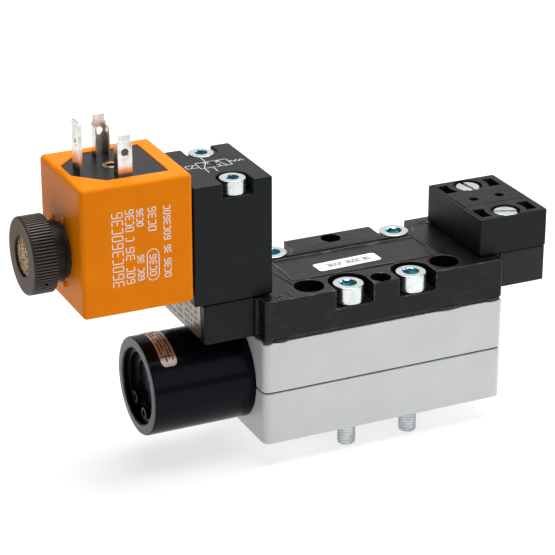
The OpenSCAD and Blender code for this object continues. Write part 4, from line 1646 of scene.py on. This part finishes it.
    def print_lines(self) -> None:
        """Prints dummy characters, turned a quarter, on the coil's near face."""
        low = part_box("coil_housing")[0]
        marks = Printing("coil_print", low, (0, 0, 1), (-1, 0, 0), line=0.24 * MM, lift=0.02 * MM)
        for across, height, words in self.printed_lines:
            marks.line_of(-across * MM, [(a * MM, b * MM, count) for a, b, count in words], height * MM)
        marks.oval((12.4 * MM, -19.0 * MM), 8.5 * MM, 3.2 * MM)
        marks.finish(Finish.WHITE_INK, self.body, "white_label")


@dataclass
class CoilNut:
    """The knurled nut that holds the coil, with a sintered filter in its middle."""

    teeth: int = 75
    tooth_depth: float = 0.42 * MM
    grip: float = -88.6 * MM
    rim_holes: tuple[float, ...] = (-150.0, 30.0)
    face_hole: Step = (2.86 * MM, 63.1 * MM)
    centre: Step = COIL_AXIS
    body: str = "coil_nut"

    def build(self) -> None:
        """Turns, knurls and drills the nut, and seats the filter."""
        low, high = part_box("knurled_nut")
        radius = (high.z - low.z) / 2
        x0, x1, grip = low.x, high.x, self.grip
        bore, thread, collar = 5.3 * MM, 4.08 * MM, 8.1 * MM
        band = (x0 + 0.6 * MM, grip - 0.3 * MM)
        steps = [(x0, bore + 0.2 * MM), (x0, radius - 0.5 * MM), (x0 + 0.1 * MM, radius - 0.24 * MM),
                 (x0 + 0.26 * MM, radius - 0.08 * MM), (x0 + 0.5 * MM, radius), (band[0], radius),
                 (band[1], radius), (grip - 0.12 * MM, radius), (grip, radius - 0.12 * MM),
                 (grip, collar + 0.2 * MM), (grip + 0.2 * MM, collar), (x1 - 0.2 * MM, collar),
                 (x1, collar - 0.2 * MM), (x1, thread),
                 (x0 + 2.2 * MM, thread), (x0 + 2.2 * MM, bore), (x0 + 0.2 * MM, bore)]
        nut = Bench.turned("coil_knurled_nut", steps, self.centre, Axis.X, 3 * self.teeth, ring=True)
        middle = Vector((0, self.centre[0], self.centre[1]))
        pitch = 2 * math.pi / (3 * self.teeth)

        def reach(point: Vector) -> float:
            """How far a point lies from the nut's axis."""
            return math.hypot(point.y - middle.y, point.z - middle.z)

        def is_root(point: Vector) -> bool:
            """Whether a point lies in a groove of the knurl.

            Args:
                point: The point.

            Returns:
                True in a groove.
            """
            turn = round(math.atan2(point.z - middle.z, point.y - middle.y) / pitch)
            return (reach(point) > radius - 0.01 * MM and band[0] - 1e-5 < point.x < band[1] + 1e-5
                    and turn % 3 == 0)

        with Bench.points(nut, is_root):
            ratio = 1 - self.tooth_depth / radius
            bpy.ops.transform.resize(value=(1, ratio, ratio), center_override=middle)
        across = Matrix.Translation((x0 + 3.4 * MM, *middle[1:]))
        rim_holes = [(across @ Matrix.Rotation(math.radians(angle - 90), 4, "X"), radius - 2.5 * MM, 2.8 * MM,
                      0.5 * MM) for angle in self.rim_holes]
        face_hole = Matrix.Translation((x0, *self.face_hole)) @ Matrix.Rotation(math.pi / 2, 4, "Y")
        Bench.drill(nut, rim_holes + [(face_hole, -1 * MM, 2.2 * MM, 0.3 * MM)])
        Bench.smooth(nut, 24)
        Bench.mark(nut, 1, lambda at, normal: normal.x < -0.8 and at.x < x0 + 0.05 * MM)
        Bench.mark(nut, 2, lambda at, normal: reach(at) > radius - 0.03 * MM and band[0] < at.x < band[1])
        # Painted shade: the collar's faces take the darker connector plastic, standing in for the shadow that
        # falls on the collar; the nut is one plastic.
        Bench.mark(nut, 3, lambda at, normal: at.x > grip + 0.01 * MM and reach(at) > collar - 0.3 * MM)
        Bench.hand_over(nut, Finish.NUT_PLASTIC, self.body, "nut_plastic", "knurled_nut",
                        extra=[Finish.NUT_FACE, Finish.NUT_CREST, Finish.CONNECTOR_PLASTIC])
        self.filter()

    def filter(self) -> None:
        """Turns the sintered filter, slightly crowned."""
        low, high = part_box("nut_filter")
        radius = (high.z - low.z) / 2
        steps = [(high.x, radius - 0.1 * MM), (high.x - 0.1 * MM, radius), (low.x + 0.35 * MM, radius),
                 (low.x + 0.12 * MM, radius - 0.35 * MM), (low.x, radius * 0.6), (low.x, radius * 0.2)]
        disc = Bench.turned("nut_sintered_filter", steps, self.centre, Axis.X, 64)
        Bench.hand_over(Bench.smooth(disc), Finish.SINTERED_BRONZE, self.body, "sintered_bronze",
                        "nut_filter")


@dataclass
class Spring:
    """A round-wire compression spring along X."""

    node: str
    name: str
    joint: str
    body: str
    centre: Step
    wire: float
    turns: float
    stroke: float

    def build(self) -> None:
        """Winds the spring along its CAD node's length and dresses it."""
        low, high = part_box(self.node)
        radius = (high.y - low.y) / 2 - self.wire
        length = high.x - low.x - 2 * self.wire
        bpy.ops.object.select_all(action="DESELECT")
        bpy.ops.mesh.primitive_circle_add(vertices=12, radius=self.wire, location=(0, 0, radius))
        coil = bpy.context.object
        coil.rotation_euler = (math.pi / 2, 0, 0)
        Bench.settle(coil)
        steps = int(28 * self.turns)
        Bench.modify(coil, "SCREW", axis="X", angle=2 * math.pi * self.turns, screw_offset=length,
                     iterations=1, steps=steps, render_steps=steps)
        coil.name = self.name
        start = min(vertex.co.x for vertex in coil.data.vertices)
        coil.data.transform(Matrix.Translation((low.x - start, *self.centre)))
        with Bench.editing(coil):
            bpy.ops.mesh.select_all(action="SELECT")
            bpy.ops.mesh.fill_holes(sides=0)
            bpy.ops.mesh.normals_make_consistent(inside=False)
        Bench.smooth(coil, 60)
        Bench.hand_over(coil, Finish.SPRING_STEEL, self.body, "spring_steel", self.node)
        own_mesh(coil)


@dataclass
class Internals:
    """What works inside: the spool with its piston, and the plunger in its tube."""

    spool_stroke: float = 4.8 * MM
    plunger_stroke: float = 1.2 * MM

    def build(self) -> None:
        """Dresses the inner parts and winds the springs."""
        for node, finish in (("spool", Finish.MACHINED_METAL), ("spool_seals", Finish.BLACK_RUBBER),
                             ("pilot_piston", Finish.PISTON_PLASTIC), ("piston_seal", Finish.BLACK_RUBBER),
                             ("spring_seat", Finish.STAINLESS_STEEL), ("pilot_nozzle", Finish.BRASS),
                             ("armature_tube", Finish.STAINLESS_STEEL),
                             ("fixed_core", Finish.STAINLESS_STEEL), ("plunger", Finish.STAINLESS_STEEL),
                             ("plunger_disc", Finish.BLACK_RUBBER)):
            dress_node(node, finish)
        Spring("return_spring", "spool_return_spring", "spool_slide", "valve_body", SPOOL_AXIS,
               wire=0.75 * MM, turns=6, stroke=self.spool_stroke).build()
        Spring("plunger_spring", "plunger_return_spring", "plunger_slide", "valve_body", COIL_AXIS,
               wire=0.3 * MM, turns=7, stroke=self.plunger_stroke).build()


# --------------------------------------------------------------------------- studio


@dataclass(frozen=True)
class Softbox:
    """One large, soft area light aimed at the valve."""

    name: str
    place: Point
    size: float
    power: float

    def build(self, target: Vector) -> None:
        """Hangs the light.

        Args:
            target: What it is aimed at.
        """
        bpy.ops.object.select_all(action="DESELECT")
        bpy.ops.object.light_add(type="AREA", location=self.place)
        lamp = bpy.context.object
        lamp.name = self.name
        lamp.data.size = self.size
        lamp.data.energy = self.power
        lamp.rotation_euler = (target - Vector(self.place)).to_track_quat("-Z", "Y").to_euler()


@dataclass
class Studio:
    """A pale floor, soft lights and the camera."""

    target: Point = (-25.43 * MM, -3.92 * MM, 41.21 * MM)
    azimuth: float = -24.9
    elevation: float = 23.14
    distance: float = 596 * MM
    lens: float = 145.1
    floor_size: float = 6.0
    sky_light: float = 0.14
    softboxes: tuple[Softbox, ...] = (
        Softbox("top_softbox", (0.1, 0.05, 0.75), size=0.7, power=9.5),
        Softbox("front_softbox", (0.25, -0.75, 0.45), size=0.6, power=1.4),
        Softbox("right_softbox", (0.8, 0.1, 0.4), size=0.5, power=1.6),
        Softbox("back_softbox", (0.42, 0.95, 0.5), size=0.8, power=1.5))

    def build(self) -> None:
        """Sets up the studio."""
        self.camera()
        self.floor()
        self.world()
        for softbox in self.softboxes:
            softbox.build(Vector(self.target))
        bpy.context.scene.view_settings.view_transform = "Standard"

    def camera(self) -> None:
        """Places the camera on its line of sight."""
        turn, lift = math.radians(self.azimuth), math.radians(self.elevation)
        back = Vector((math.sin(turn) * math.cos(lift), -math.cos(turn) * math.cos(lift), math.sin(lift)))
        bpy.ops.object.select_all(action="DESELECT")
        bpy.ops.object.camera_add(location=Vector(self.target) + back * self.distance)
        camera = bpy.context.object
        camera.name = "studio_camera"
        camera.rotation_euler = back.to_track_quat("Z", "Y").to_euler()
        camera.data.lens = self.lens
        camera.data.sensor_width = 36.0
        camera.data.clip_start = 0.01
        bpy.context.scene.camera = camera

    def floor(self) -> None:
        """Lays the floor under the bolts' ends."""
        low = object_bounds()[0]
        half = self.floor_size / 2
        floor = Bench.block("studio_floor", (-half, -half, low[2] - 20 * MM), (half, half, low[2]))
        shader = Shader("pale_floor")
        tone = shader.noise(0.4, 3).within(0.3, 0.7)
        shader.feed(Base_Color=shader.mix(tone, (0.4, 0.4, 0.4), (0.44, 0.44, 0.44)), Roughness=0.8)
        shader.feed(Emission_Color=(1.0, 1.0, 1.0), Emission_Strength=0.66)
        floor.data.materials.append(shader.material)
        floor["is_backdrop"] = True

    def world(self) -> None:
        """Makes the surroundings plain and pale: white to look at, dimmer as a light."""
        world = bpy.data.worlds.new("studio_world")
        bpy.context.scene.world = world
        graph = Graph(world)
        path = graph.node("ShaderNodeLightPath", {}, {})
        level = graph.node("ShaderNodeMapRange", {}, {"Value": path.outputs["Is Camera Ray"],
                                                      "To Min": self.sky_light, "To Max": 1.0})
        sky = graph.tree.nodes["Background"]
        graph.connect(sky.inputs["Color"], (1.0, 1.0, 1.0))
        graph.connect(sky.inputs["Strength"], level.outputs["Result"])


def main() -> None:
    """Builds every sub-assembly round the frame, then the studio."""
    logging.basicConfig(level=logging.INFO, format="%(message)s")
    for assembly in (Housing(), TopPlate(), SpringHousing(), Pilot(), CoverEnd(), Coil(), CoilNut(),
                     Internals(), Studio()):
        assembly.build()


if __name__ == "__main__":
    main()
